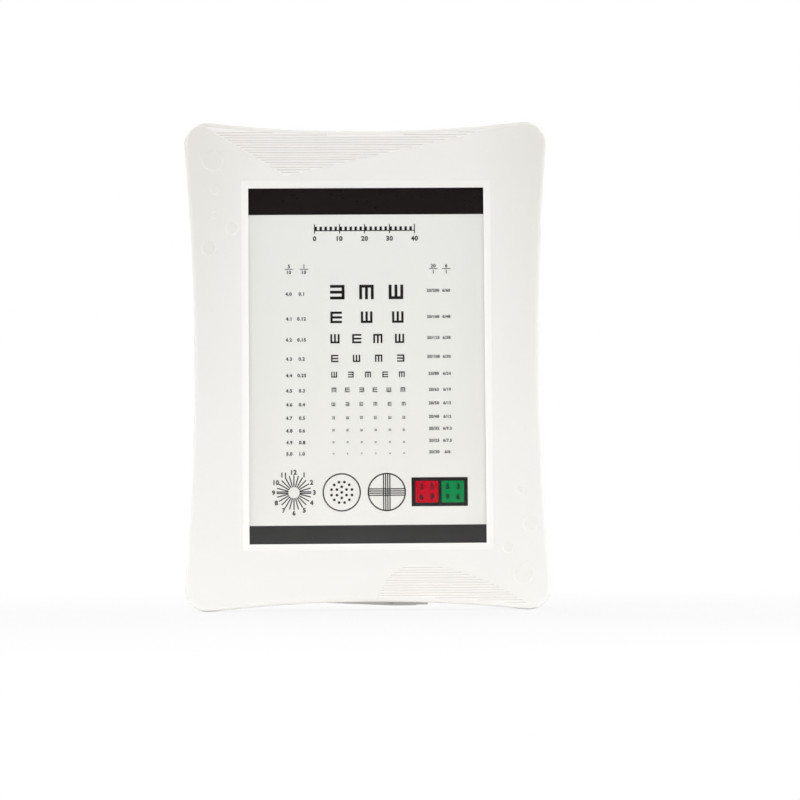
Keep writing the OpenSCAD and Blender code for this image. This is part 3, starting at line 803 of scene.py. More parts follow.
    def piece(
        self,
        name: str,
        finish: Finish,
        slot: str,
        replaces: Sequence[str] = (),
        body: str = "case",
        crisp: float = 24.0,
    ) -> bpy.types.Object:
        """Turns the solid into a finished piece that rides on a body.

        Args:
            name: The piece's name.
            finish: Its finish.
            slot: The record's material slot. Not used.
            replaces: CAD nodes that it stands for.
            body: The CAD body that it moves with.
            crisp: Edges sharper than this many degrees stay sharp.

        Returns:
            The object.
        """
        self.mesh.transform(Matrix.Scale(MM, 4))
        self.mesh.materials.clear()
        self.mesh.materials.append(finish.material())
        self.mesh.shade_smooth()
        self.mesh.set_sharp_from_angle(angle=math.radians(crisp))
        item = placed(name, self.mesh)
        item.modifiers.new("even_shading", "WEIGHTED_NORMAL").keep_sharp = True
        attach(item, body)
        if replaces:
            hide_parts(*replaces)
        log.info("%s rides on %s with %d faces", name, body, len(self.mesh.polygons))
        return item


def placed(name: str, data: Any) -> bpy.types.Object:
    """Makes an object from its data, such as a mesh or a lamp, and links it into the scene."""
    item = bpy.data.objects.new(name, data)
    bpy.context.scene.collection.objects.link(item)
    return item


def dress(node: str, finish: Finish) -> None:
    """Gives a CAD node that stays in view its finish.

    Args:
        node: The node's name.
        finish: The finish.
    """
    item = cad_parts[node]
    if not item.material_slots:
        item.data.materials.append(None)
    for holder in item.material_slots:
        holder.material = finish.material()
    log.info("%s keeps its own shape, in %s", node, finish.name)


def widened(outline: Sequence[Flat], distance: float, longest: float = 6.0) -> list[Flat]:
    """Moves each side of a closed outline outwards.

    Args:
        outline: The corners, either way round.
        distance: How far, or how far inwards if negative.
        longest: The most that a sharp corner may run out, in distances.

    Returns:
        The new corners.
    """
    ahead, behind = [*outline[1:], outline[0]], [outline[-1], *outline[:-1]]
    area = sum(x0 * z1 - x1 * z0 for (x0, z0), (x1, z1) in zip(outline, ahead))
    turn = 1.0 if area > 0 else -1.0
    moved = []
    for (x0, z0), (x, z), (x1, z1) in zip(behind, outline, ahead):
        before, after = Vector((x - x0, z - z0)).normalized(), Vector((x1 - x, z1 - z)).normalized()
        first, second = Vector((before.y, -before.x)) * turn, Vector((after.y, -after.x)) * turn
        middle = (first + second).normalized()
        reach = distance / max(middle.dot(first), 1 / longest)
        moved.append((x + middle.x * reach, z + middle.y * reach))
    return moved


def arc(centre: Flat, radius: float, start: float, end: float, steps: int) -> list[Flat]:
    """Returns points on an arc, with both ends, for angles in degrees."""
    angles = [math.radians(start + (end - start) * i / steps) for i in range(steps + 1)]
    return [(centre[0] + radius * math.cos(a), centre[1] + radius * math.sin(a)) for a in angles]


def rounded_box(x0: float, x1: float, z0: float, z1: float, radius: float, steps: int = 6) -> list[Flat]:
    """Returns the outline of a rectangle with round corners."""
    left, right, low, high = x0 + radius, x1 - radius, z0 + radius, z1 - radius
    middles = ((right, high), (left, high), (left, low), (right, low))
    return [p for i, middle in enumerate(middles) for p in arc(middle, radius, 90 * i, 90 * i + 90, steps)]


def four(spot: Flat, y: float = 0.0) -> list[Point]:
    """Returns the four points at a depth that lie a spot's X and Z from the case's middle."""
    return [(x * spot[0], y, MID_Z + z * spot[1]) for x in (-1, 1) for z in (-1, 1)]


# ---- The case ----


@dataclass(frozen=True)
class CaseOutline:
    """The case seen from the front: four hollow sides between four round lobes."""

    width: float = 145.0
    height: float = 195.0
    side_sag: float = 3.9
    end_sag: float = 3.5
    corner: float = 9.0
    steps: tuple[int, int, int] = (40, 32, 16)

    def flat(self, inset: float) -> list[Flat]:
        """Returns the outline about its middle, drawn in on every side.

        Args:
            inset: How far it is drawn in.

        Returns:
            X and Z pairs, anticlockwise from the front.
        """
        lobe_x, lobe_z = self.width / 2 - self.corner, self.height / 2 - self.corner
        side_r = (lobe_z**2 + (self.corner - self.side_sag) ** 2 - self.corner**2) / (2 * self.side_sag)
        end_r = (lobe_x**2 + (self.corner - self.end_sag) ** 2 - self.corner**2) / (2 * self.end_sag)
        side_c, end_c = self.width / 2 - self.side_sag + side_r, self.height / 2 - self.end_sag + end_r
        side_a = math.degrees(math.asin(lobe_z / (side_r + self.corner)))
        end_a = math.degrees(math.asin(lobe_x / (end_r + self.corner)))
        side, end, lobe = self.steps
        small = self.corner - inset
        half = [
            *arc((side_c, 0), side_r + inset, 180 + side_a, 180 - side_a, side)[:-1],
            *arc((lobe_x, lobe_z), small, -side_a, 90 + end_a, lobe)[:-1],
            *arc((0, end_c), end_r + inset, 270 + end_a, 270 - end_a, end)[:-1],
            *arc((-lobe_x, lobe_z), small, 90 - end_a, 180 + side_a, lobe)[:-1],
        ]
        return half + [(-x, -z) for x, z in half]

    def ring(self, inset: float, y: float) -> list[Point]:
        """Returns the outline, drawn in, at a depth."""
        return [(x, y, MID_Z + z) for x, z in self.flat(inset)]


@dataclass
class RibbedPanels:
    """The two sunken panels of fine level grooves in the face, at heights from the case's middle.

    A slanted boundary is a point's X and height and a slope. A round one is a centre's X and height and a radius.
    """

    depth: float = 0.25
    wall: float = 0.32
    pitch: float = 1.0
    groove: float = 0.18
    groove_depth: float = 0.34
    upper_drop: float = 0.12
    lower_drop: float = -0.12
    plain_strip: float = 92.0
    shortest: float = 1.5
    upper_rows: int = 17
    upper_first: float = 77.2
    lower_rows: int = 15
    lower_first: float = -80.6
    end_radius: float = 568.8
    upper_ends: Flat = (75.9, 99.0)
    upper_slant: Point = (-62.6, 94.8, 1.61)
    upper_bends: tuple[Point, ...] = ((-30, 76.3, 0.2235), (40.2, 92, 0.28), (45, 93.35, 0.177))
    lower_ends: Flat = (-99.0, -79.6)
    lower_arcs: tuple[Point, Point] = ((20.3, -96.1, 17), (6.8, -179.5, 101.5))

    def upper_left(self, z: float) -> float:
        """Returns the upper panel's left boundary at a height above the middle."""
        x, height, slope = self.upper_slant
        return x + (height - z) * slope

    def upper_right(self, z: float) -> float:
        """Returns the upper panel's right boundary, which bends twice."""
        x, height, slope = self.upper_bends[sum(z >= bend[1] for bend in self.upper_bends[1:])]
        return x + (z - height) / slope

    def lower_left(self, z: float) -> float:
        """Returns the lower panel's left boundary, a small arc."""
        x, height, radius = self.lower_arcs[0]
        return x - math.sqrt(max(radius**2 - (z - height) ** 2, 0.0))

    def lower_right(self, z: float) -> float:
        """Returns the lower panel's right boundary, a large arc."""
        x, height, radius = self.lower_arcs[1]
        return x + math.sqrt(max(radius**2 - (z - height) ** 2, 0.0))

    def floors(self) -> Solid:
        """Returns the tool that sinks both panels, with sloping walls."""
        (foot, top), (low, high) = self.upper_ends, self.lower_ends
        upper = [(self.upper_left(z), z) for z in (foot, top)]
        upper += [(self.upper_right(z), z) for z in (top, *(bend[1] for bend in self.upper_bends[:0:-1]), foot)]
        lower = [(self.lower_left(z), z) for z in (*(low + i for i in range(19)), high)]
        lower += [(self.lower_right(z), z) for z in (*(high - i * 0.9 for i in range(21)), low)]
        lift = 0.6
        grow = self.wall * (lift + self.depth) / self.depth
        return Solid.group([
            Solid.prism(
                [(x, z + MID_Z) for x, z in widened(shape, -self.wall * 0.4)],
                FACE_Y - lift,
                FACE_Y + self.depth,
                grow,
            )
            for shape in (upper, lower)
        ])

    def one_groove(
        self, left: Callable[[float], float], right: Callable[[float], float], z: float, drop: float,
    ) -> list[Solid]:
        """Cuts one groove between two boundaries, with the sloping rib beside it.

        Args:
            left: Gives the left end at a height.
            right: Gives the right end at a height.
            z: The groove's height above the middle.
            drop: How deep the rib below the groove starts, or, below zero, the rib above it.

        Returns:
            The tool, or nothing where the groove would be too short.
        """
        if right(z) - left(z) < self.shortest:
            return []
        half, top, deep = self.groove / 2, FACE_Y + self.depth, self.groove_depth
        profile = [
            (top - 0.12, half + 0.02, 0.0), (top + deep * 0.8, half * 0.8, 0.1), (top + deep, half * 0.4, 0.16),
            (top + deep, -half * 0.4, 0.16), (top + deep * 0.8, -half * 0.8, 0.1), (top + abs(drop), -half, 0.02),
            (top - 0.02, 0.06 + half - self.pitch, 0.0), (top - 0.12, 0.06 + half - self.pitch, 0.0),
        ]
        if drop < 0:
            profile = [(y, -rise, back) for y, rise, back in profile[::-1]]
        return [Solid.loft([
            [(left(z + rise) + 0.2 + back, y, MID_Z + z + rise) for y, rise, back in profile],
            [(right(z + rise) - 0.2 - back, y, MID_Z + z + rise) for y, rise, back in profile],
        ])]

    def grooves(self) -> Solid:
        """Returns the tool that cuts every groove."""
        def edge(z: float) -> float:
            """Returns how far out the plain strip along the case's edge reaches at a height."""
            return math.sqrt(max(abs(z) - self.plain_strip, 0.0) * 2 * self.end_radius)
        tools: list[Solid] = []
        for i in range(self.upper_rows):
            z = self.upper_first + i * self.pitch
            spans = [(self.upper_left, self.upper_right)]
            if z + self.groove >= self.plain_strip:
                spans = [(self.upper_left, lambda _: -edge(z)), (lambda _: edge(z), self.upper_right)]
            for left, right in spans:
                tools += self.one_groove(left, right, z, self.upper_drop)
        for i in range(self.lower_rows):
            z = self.lower_first - i * self.pitch
            tools += self.one_groove(
                lambda at: max(self.lower_left(at), edge(z)), self.lower_right, z, self.lower_drop
            )
        return Solid.group(tools)


@dataclass
class FrontShell:
    """The front shell: sloping window border, ribbed panels, round dimples and the posts inside."""

    outline: CaseOutline = field(default_factory=CaseOutline)
    panels: RibbedPanels = field(default_factory=RibbedPanels)
    edge: float = 1.9
    wall: float = 2.2
    skin: float = 2.0
    window: Flat = (94.0, 142.0)
    border_slope: float = 1.8
    border_depth: float = 1.5
    pane: Flat = (53.6, 77.6)
    ear_y: float = -4.15
    post_radii: Flat = (3.8, 3.0)
    bore_radii: Flat = (1.27, 1.0)
    bore_y: Flat = (-8.6, 1.0)
    dimple_steps: tuple[Flat, ...] = ((-0.9, 1.2), (0.34, -0.45), (0.42, -0.8))
    dimple_lean: float = 0.22
    dimples: tuple[Point, ...] = (
        (-61, 82.2, 4.25), (-59.9, 70.8, 2.2), (-60.3, 60.5, 1.5), (-53.3, 54.8, 2.6), (-62.7, 47, 3.1),
        (61.4, -83.1, 4.2), (55.4, -72.5, 2.4), (64.5, -63.6, 3), (60.5, -49.9, 1.8),
    )

    def blank(self) -> Solid:
        """Returns the plain shell with its rounded front edge and the chamfer of the seam."""
        pane_y = FACE_Y + self.skin
        spots = [(self.edge + 0.5, FACE_Y)]
        for i in range(9):
            angle = math.radians(11.25 * i)
            spots.append((self.edge * (1 - math.sin(angle)), FACE_Y + self.edge * (1 - math.cos(angle))))
        spots += [(0, SEAM_Y - 0.3), (0.3, SEAM_Y), (self.wall, SEAM_Y), (self.wall, pane_y + 1)]
        spots.append((self.wall + 1, pane_y))
        return Solid.loft([self.outline.ring(inset, y) for inset, y in spots])

    def rectangle(self, grow: float, y: float, size: Optional[Flat] = None) -> list[Point]:
        """Returns a rectangle round the window's middle, made wider on every side, at a depth."""
        half_w, half_h = size or (self.window[0] / 2, self.window[1] / 2)
        x, z = half_w + grow, half_h + grow
        return [(x, y, MID_Z - z), (x, y, MID_Z + z), (-x, y, MID_Z + z), (-x, y, MID_Z - z)]

    def pane_frame(self) -> Solid:
        """Returns the low frame behind the face that the pane drops into."""
        pane_y = FACE_Y + self.skin
        spots = ((1.5, pane_y - 0.6), (1.5, pane_y + 3), (0.3, pane_y + 3), (0.3, pane_y - 0.6))
        return Solid.loft([self.rectangle(grow, y, self.pane) for grow, y in spots], joined=True)

    def at_screws(self, profiles: Sequence[Sequence[Flat]], steps: int = 48) -> Solid:
        """Turns one profile at each case screw and another at each tray ear, along Y."""
        return Solid.group([
            Solid.turned(profile, Axis.Y, centre, steps)
            for centres in zip(four(CASE_SCREW), four(TRAY_EAR))
            for profile, centre in zip(profiles, centres)
        ])

    def posts(self) -> Solid:
        """Returns the screw posts."""
        start = FACE_Y + self.skin - 0.6
        ends = zip(self.post_radii, (SEAM_Y - 0.3, self.ear_y))
        return self.at_screws([[(start, r), (end - 0.3, r), (end, r - 0.3)] for r, end in ends])

    def bores(self) -> Solid:
        """Returns the tool for the screw holes in the posts."""
        return self.at_screws([[(y, radius) for y in self.bore_y] for radius in self.bore_radii], 24)

    def window_tool(self) -> Solid:
        """Returns the tool for the opening and its sloping border, which eases into the face."""
        lip_y = FACE_Y + self.border_depth
        ease_y = FACE_Y + 0.07
        at_ease = (lip_y - ease_y) * self.border_slope
        return Solid.loft([
            self.rectangle(at_ease + 4 * 0.87, ease_y - 0.87),
            self.rectangle(at_ease, ease_y),
            self.rectangle(0, lip_y),
            self.rectangle(0, FACE_Y + self.skin + 1),
        ])

    def dimple_tool(self) -> Solid:
        """Returns the tool for the round dimples, which have sloping walls and are deeper towards their foot."""
        made = []
        for x, z, r in self.dimples:
            steps = [(FACE_Y + deeper, r + wider) for deeper, wider in self.dimple_steps]
            made.append(Solid.turned(steps, Axis.Y, (x, 0, MID_Z + z), 64))
            for vertex in made[-1].mesh.vertices:
                vertex.co.y -= self.dimple_lean * (vertex.co.z - (MID_Z + z)) / r
        return Solid.group(made)

    def build(self) -> None:
        """Builds the shell in place of the CAD node."""
        shell = self.blank() + self.pane_frame() + self.posts()
        tools = [self.window_tool(), self.dimple_tool(), self.panels.floors(), self.panels.grooves(), self.bores()]
        for tool in tools:
            shell = shell - tool
        shell.piece("front_shell", WHITE, "case_white", ["front_bezel"], crisp=20)


@dataclass
class RearShell:
    """The rear shell: recess for the leg, hinge pocket, battery bay, screw wells, inlet hole and switch pocket."""

    outline: CaseOutline = field(default_factory=CaseOutline)
    floor_y: float = 10.0
    edge: float = 3.0
    wall: float = 2.2
    recess_y: float = 8.2
    knuckle: float = 14.0
    bay: Point = (25.5, 18.0, 157.5)
    bay_wall: float = 3.0
    door: Flat = (28.0, 20.0)
    post: float = 3.8
    board_post: float = 2.6
    sill: float = 4.6

    def blank(self) -> Solid:
        """Returns the plain shell with the lip that slides into the front shell."""
        lap = self.wall + 1.15
        spots = [
            (self.wall + 1, self.floor_y), (self.wall, self.floor_y - 1), (self.wall, SEAM_Y + 2.2),
            (lap, SEAM_Y + 1), (lap, SEAM_Y - 1.5), (self.wall + 0.15, SEAM_Y - 1.5),
            (self.wall + 0.15, SEAM_Y), (0.3, SEAM_Y), (0.0, SEAM_Y + 0.3),
        ]
        for i in range(9):
            angle = math.radians(11.25 * i)
            spots.append((self.edge * (1 - math.cos(angle)), BACK_Y - self.edge * (1 - math.sin(angle))))
        spots.append((self.edge + 0.5, BACK_Y))
        return Solid.loft([self.outline.ring(inset, y) for inset, y in spots])

    def recess(self, grow: float) -> list[Flat]:
        """Returns the outline of the leg's recess, drawn out."""
        foot, top, end = 20.3 + grow, 16.8 + grow, HINGE[1] - 2.65 + grow
        return [(-foot, -1), (foot, -1), (foot, 14), (top, end), (-top, end), (-foot, 14)]

    def inner_walls(self, shell: Solid) -> Solid:
        """Adds the walls inside: round the recess, the hinge, the bay, the inlet and the switch, and the posts.

        Args:
            shell: The plain shell.

        Returns:
            The shell with its walls.
        """
        inner = self.floor_y + 0.5
        bay_x, bay_h, bay_z = self.bay
        knuckle, pin_z = self.knuckle + 4.5, HINGE[1]
        recess = [(x, max(z, self.sill)) for x, z in self.recess(1.5)]
        shell = shell + Solid.prism(recess, self.recess_y - 1.5, inner)
        shell = shell + Solid.box(-knuckle, knuckle, HINGE[0] - 5, inner, pin_z - 5.2, pin_z + 5.2)
        tray = Solid.box(-bay_x - 3, bay_x + 3, -2.7, inner, bay_z - bay_h - 3, bay_z + bay_h + 3)
        shell = shell + (tray - Solid.box(-bay_x, bay_x, -1.4, 20, bay_z - bay_h, bay_z + bay_h))
        for z in (INLET[1] - 6.4, INLET[1] + 5.2):
            shell = shell + Solid.box(56, 67.5, 2, inner, z, z + 1.2)
        for x in (SWITCH[0] - 11.4, SWITCH[0] + 10.2):
            shell = shell + Solid.box(x, x + 1.2, -1, 6.6, self.sill, 11)
        for centre in four(CASE_SCREW):
            shell = shell + Solid.turned([(SEAM_Y, self.post), (inner, self.post)], Axis.Y, centre)
        for x, z in BOARD_HOLES:
            shell = shell + Solid.turned([(5.6, self.board_post), (inner, self.board_post)], Axis.Y, (x, 0, z))
        return shell

    def leg_tools(self) -> list[Solid]:
        """Returns the tools for the leg's recess, its eased mouth, the hinge pocket and the pin's bore."""
        pin_y, pin_z = HINGE
        pocket = rounded_box(-self.knuckle - 0.35, self.knuckle + 0.35, pin_z - 3.9, pin_z + 3.6, 0.8)
        return [
            Solid.prism(self.recess(0), self.recess_y, BACK_Y + 1),
            Solid.prism(self.recess(0), BACK_Y + 0.6, BACK_Y - 0.35, 0.95),
            Solid.prism(pocket, pin_y - 3.5, BACK_Y + 1),
            Solid.prism(pocket, BACK_Y + 0.6, BACK_Y - 0.3, 0.9),
            Solid.turned([(-self.knuckle - 3.6, 1.2), (self.knuckle + 3.6, 1.2)], Axis.X, (0, pin_y, pin_z), 32),
        ]

    def bay_tools(self) -> list[Solid]:
        """Returns the tools for the battery bay, the door's seat, its tabs' slots and the solder tails' slots."""
        bay_x, bay_h, bay_z = self.bay
        door_x, door_h = self.door
        seat = rounded_box(-door_x, door_x, bay_z - door_h, bay_z + door_h, 1.3)
        tools = [
            Solid.prism(seat, self.floor_y, BACK_Y + 1),
            Solid.prism(seat, BACK_Y + 0.6, BACK_Y - 0.25, 0.85),
            Solid.prism(rounded_box(-bay_x, bay_x, bay_z - bay_h, bay_z + bay_h, 0.6), -1.4, BACK_Y + 1),
        ]
        slot_z = (bay_z - door_h - 3.2, bay_z - bay_h + 0.1)
        for x in DOOR_TABS:
            tools.append(Solid.box(x - 4.3, x + 4.3, BACK_Y - 4.5, self.floor_y + 0.01, *slot_z))
        for side in (-1, 1):
            ends = sorted((side * (bay_x - 0.1), side * (bay_x + self.bay_wall + 1)))
            middle = bay_z - side * 11.5
            tools.append(Solid.box(*ends, 5.8, 8.2, middle - 1.7, middle + 1.7))
        return tools

    def small_tools(self) -> list[Solid]:
        """Returns the tools for the screw wells, the board's posts, the inlet's hole and the switch's pocket."""
        well = [(SEAM_Y - 1, 1.5), (5.0, 1.5), (5.0, 2.8), (BACK_Y - 0.4, 2.8), (BACK_Y + 0.6, 3.8)]
        tools = [Solid.turned(well, Axis.Y, centre) for centre in four(CASE_SCREW)]
        tools += [Solid.turned([(4.0, 0.92), (9.0, 0.92)], Axis.Y, (x, 0, z), 24) for x, z in BOARD_HOLES]
        tools.append(Solid.turned([(64.0, 4.4), (68.75, 4.4), (69.9, 5.5)], Axis.X, (0, *INLET)))
        x, y = SWITCH
        tools.append(Solid.box(x - 10.85, x + 7.85, y - 3, y + 3, -1, self.sill))
        tools.append(Solid.box(x - 5.9, x + 2.9, y - 1.7, y + 1.7, 4, 8))
        return tools

    def build(self) -> None:
        """Builds the shell in place of the CAD node."""
        shell = self.inner_walls(self.blank())
        for tool in (*self.leg_tools(), *self.bay_tools(), *self.small_tools()):
            shell = shell - tool
        shell.piece("rear_shell", WHITE_BACK, "case_white", ["rear_cover"], crisp=20)


@dataclass
class CrossScrews:
    """A set of pan-head screws with a cross recess and a rolled thread, along Y."""

    name: str
    node: str
    spots: Sequence[Point]
    length: float
    shank: float
    head: Flat
    faces_front: bool = False
    thread: float = 0.6

    def one(self) -> Solid:
        """Returns one screw on the Y axis, with its head towards the back."""
        radius, height = self.head
        tip = 0.9 - self.length
        profile = [(-self.length, 0.0), (0.1 - self.length, self.shank * 0.45), (tip, self.shank * 0.8)]
        for i in range(int((self.length - 1.4) / self.thread)):
            start = tip + i * self.thread
            profile += [(start + 0.2, self.shank), (start + 0.32, self.shank), (start + 0.5, self.shank * 0.78)]
        profile += [
            (-0.35, self.shank * 0.9), (0.0, self.shank), (0.0, radius * 0.93), (0.12, radius),
            (height * 0.5, radius), (height * 0.75, radius * 0.88), (height * 0.93, radius * 0.6),
            (height, radius * 0.3), (height, 0.0),
        ]
        screw = Solid.turned(profile, Axis.Y, (0, 0, 0), 40)
        for long, short in ((radius * 0.58, 0.2), (0.2, radius * 0.58)):
            bar = [(-long, -short), (long, -short), (long, short), (-long, short)]
            screw = screw - Solid.prism(bar, height + 0.4, height * 0.35, 0.2)
        return screw

    def build(self) -> None:
        """Builds the set in place of its CAD node."""
        first = self.one().flipped(1) if self.faces_front else self.one()
        made = [first.copy().moved(*spot) for spot in self.spots]
        Solid.group(made).piece(self.name, SCREW, "screw_steel", [self.node])


# ---- The leg, the door and the switch ----


@dataclass
class StandLeg:
    """The folding leg: a tapered plate with a sunken back, grip grooves, a hinge barrel, a pin and a rubber foot."""

    thickness: float = 2.9
    top: float = 16.0
    foot: float = 19.5
    barrel: float = 14.0
    toe: Point = (9.5, 1.55, 2.9)
    pad: float = 3.0
    grips: tuple[float, ...] = (12, 15, 18, 21, 24)
    pin_radius: float = 1.2
    treads: int = 14

    def sole(self, lift: float) -> list[Flat]:
        """Returns the slanted bottom line, from the left to the right, lifted by some height."""
        toe_x, toe_z, heel_z = self.toe
        return [(-self.foot, heel_z + lift), (toe_x, toe_z + lift), (self.foot, toe_z + lift)]

    def plate(self) -> Solid:
        """Returns the leg without its foot."""
        y0, pin_z = HINGE
        y1, top_z = y0 + self.thickness, pin_z - 4.05
        outline = [*self.sole(self.pad), (self.foot, 14), (self.top, top_z), (-self.top, top_z), (-self.foot, 14)]
        leg = Solid.prism(outline, y0, y1).eased(0.45, 3, 30)
        neck = Solid.box(-self.barrel, self.barrel, y0, y1, top_z - 1, pin_z).eased(0.25)
        r, end = self.thickness, self.barrel
        barrel = [(-end, r - 0.35), (0.35 - end, r), (end - 0.35, r), (end, r - 0.35)]
        leg = leg + neck + Solid.turned(barrel, Axis.X, (0, y0, pin_z), 64)
        leg = leg - Solid.turned([(-15, 1.25), (15, 1.25)], Axis.X, (0, y0, pin_z), 32)
        sunk = [(-self.foot + 4, 30), (self.foot - 4, 30), (self.top - 3, top_z - 8), (-self.top + 3, top_z - 8)]
        leg = leg - Solid.prism(sunk, y1 + 0.5, y1 - 0.8, 0.65)
        for z in self.grips:
            leg = leg - Solid.prism(rounded_box(-12, 12, z, z + 1.2, 0.55), y1 + 0.3, y1 - 0.5, 0.3)
        return leg

    def rubber(self) -> Solid:
        """Returns the foot pad, with tread grooves across its sole."""
        y0 = HINGE[0]
        block = Solid.prism([*self.sole(0), *self.sole(self.pad)[::-1]], y0, y0 + self.thickness).eased(0.3, 3, 30)
        toe_x, toe_z, heel_z = self.toe
        for i in range(self.treads):
            x = -16.8 + i * 2.6
            low = toe_z + max(0.0, (toe_x - x) / (toe_x + self.foot)) * (heel_z - toe_z)
            block = block - Solid.box(x - 0.35, x + 0.35, y0 + 0.8, y0 + 4, 0, low + 0.3)
        return block

    def build(self) -> None:
        """Builds the leg, its pad and its pin in place of their CAD nodes."""
        self.plate().piece("leg_plate", LEG_WHITE, "leg_white", ["stand_leg"], "stand")
        self.rubber().piece("leg_pad", PAD, "pad_rubber", ["stand_foot_pad"], "stand")
        reach, r = self.barrel + 3.5, self.pin_radius
        profile = [(-reach, 0), (-reach, r - 0.3), (0.3 - reach, r), (reach - 0.3, r), (reach, r - 0.3), (reach, 0)]
        pin = Solid.turned(profile, Axis.X, (0, *HINGE), 40)
        pin.piece("leg_pin", PIN, "pin_steel", ["hinge_pin"])


@dataclass
class BatteryBay:
    """The battery door with its latch and tabs, the three cells and their springs."""

    door: Point = (27.7, 19.8, 157.5)
    thickness: float = 1.8
    cell_radius: float = 5.1
    cell_y: float = 4.4
    pitch: float = 11.5
    wire: float = 0.35
    latch: Flat = (-12.5, 11.7)

    def lid(self) -> Solid:
        """Returns the door."""
        half_x, half_z, middle = self.door
        z0, z1, back = middle - half_z, middle + half_z, BACK_Y
        lid = Solid.prism(rounded_box(-half_x, half_x, z0, z1, 1.0), back - self.thickness, back).eased(0.22, 2)
        for x in DOOR_TABS:
            lid = lid + Solid.box(x - 4, x + 4, back - 3.4, back - 2.1, z0 - 2.4, z0 + 1.3)
            lid = lid + Solid.box(x - 4, x + 4, back - 3.3, back - self.thickness + 0.5, z0 + 0.3, z0 + 1.25)
        for i in range(6):
            z = z1 - 7 - i * 1.8
            lid = lid - Solid.prism(rounded_box(-9, 9, z, z + 1.0, 0.45), back + 0.3, back - 0.5, 0.3)
        arrow = [(-3.2, z1 - 18.2), (3.2, z1 - 18.2), (0, z1 - 22.4)]
        lid = lid - Solid.prism(arrow, back + 0.3, back - 0.35, 0.3)
        for x in self.latch:
            lid = lid - Solid.box(x, x + 0.8, back - 3, back + 1, z1 - 9, z1 + 1)
        return lid

    def turned_cell(self, profile: Sequence[Flat]) -> Solid:
        """Repeats one turned shape for the three cells, the middle one the other way round.

        Args:
            profile: Pairs of distance along the cell and radius.

        Returns:
            The three shapes.
        """
        made = []
        for i in (-1, 0, 1):
            one = Solid.turned(profile, Axis.X, (0, self.cell_y, self.door[2] + i * self.pitch), 56)
            made.append(one.flipped(0) if i == 0 else one)
        return Solid.group(made)

    def springs(self) -> Solid:
        """Returns the three conical springs, each with a closed turn at both ends."""
        made = []
        for i in (-1, 0, 1):
            side, path = (-1 if i == 0 else 1), []
            for k in range(111):
                share = min(max((k - 20) / 70, 0.0), 1.0)
                angle, radius = 2 * math.pi * k / 22, 3.8 - 1.5 * share
                path.append((
                    -side * (24.7 - 4.9 * share), self.cell_y + radius * math.cos(angle),
                    self.door[2] + i * self.pitch + radius * math.sin(angle),
                ))
            made.append(Solid.tube(path, self.wire, 10))
        return Solid.group(made)

    def build(self) -> None:
        """Builds the door, the cells and the springs in place of their CAD nodes."""
        self.lid().piece("battery_lid", WHITE_BACK, "case_white", ["battery_door"], "door")
        r = self.cell_radius
        sleeve = [
            (-19.05, 0), (-19.05, 4.2), (-19.3, 4.35), (-19.35, 4.7), (-19.1, r), (23.7, r), (24.0, 4.75),
            (24.05, 4.2), (23.85, 4.0), (23.85, 0),
        ]
        ends = [
            (-19.4, 0), (-19.4, 3.6), (-19.2, 4.1), (-18.0, 4.1), (-18.0, 3.0), (22.0, 3.0), (22.0, 3.6),
            (23.95, 3.6), (24.0, 2.3), (24.2, 1.9), (24.9, 1.9), (25.1, 1.65), (25.1, 0),
        ]
        band = [(15.5, 4.9), (15.5, r + 0.03), (23.2, r + 0.03), (23.2, 4.9)]
        for name, profile, finish, slot in (
            ("cell_sleeves", sleeve, SLEEVE, "cell_wrap"),
            ("cell_ends", ends, NICKEL, "contact_nickel"),
            ("cell_bands", band, COPPER_BAND, "cell_wrap"),
        ):
            self.turned_cell(profile).piece(name, finish, slot, ["battery_cells"])
        self.springs().piece("cell_springs", NICKEL, "contact_nickel", ["battery_springs"])
        dress("battery_plates", NICKEL)


@dataclass
class PowerParts:
    """The round inlet with its pin, and the slide switch with its ribbed cap."""

    inlet_face: float = 68.4
    cap: Flat = (14.5, 5.0)

    def socket(self) -> Solid:
        """Returns the inlet's body and collar with the bore."""
        y, z = INLET
        block = Solid.box(54, 66.4, y - 4.4, y + 4.4, z - 5, z + 5).eased(0.4)
        collar = [(65.8, 4.2), (self.inlet_face - 0.3, 4.2), (self.inlet_face, 3.9)]
        block = block + Solid.turned(collar, Axis.X, (0, y, z), 64)
        bore = [(self.inlet_face - 9.5, 3.0), (self.inlet_face - 0.4, 3.0), (self.inlet_face + 0.6, 4.0)]
        return block - Solid.turned(bore, Axis.X, (0, y, z), 64)

    def pin(self) -> Solid:
        """Returns the inlet's centre pin, with a round tip."""
        end = self.inlet_face - 1
        tip = [(end - 1 + math.sin(a), math.cos(a)) for a in (math.radians(10 * i) for i in range(10))]
        return Solid.turned([(self.inlet_face - 9.5, 1.0), *tip], Axis.X, (0, *INLET), 32)

    def slider(self) -> Solid:
        """Returns the switch's cap with its ribs and stem."""
        x, y = SWITCH
        half, depth = self.cap[0] / 2, self.cap[1] / 2
        outline = [(x - half, 2.0), (x + half - 0.6, 2.0), (x + half + 0.2, 4.2), (x - half, 4.2)]
        cap = Solid.prism(outline, y - depth, y + depth).eased(0.22, 2, 30)
        cap = cap + Solid.box(x - 2.5, x + 2.5, y - 1.4, y + 1.4, 4, 9.8)
        for i in range(7):
            rib = x - 4.8 + i * 1.6
            cap = cap - Solid.prism(rounded_box(rib - 0.35, rib + 0.35, 0.9, 2.5, 0.3), y - 1.9, y + 1.9)
        return cap

    def build(self) -> None:
        """Builds the inlet and the cap in place of their CAD nodes, and finishes the switch's body."""
        self.socket().piece("inlet_socket", JET, "inlet_black", ["dc_inlet"])
        self.pin().piece("inlet_pin", BRASS, "inlet_brass", ["dc_inlet_pin"])
        self.slider().piece("switch_cap", CAP_GREY, "switch_grey", ["switch_knob"], "slider")
        dress("switch_body", JET)


# ---- The window, the lamps and the chart ----


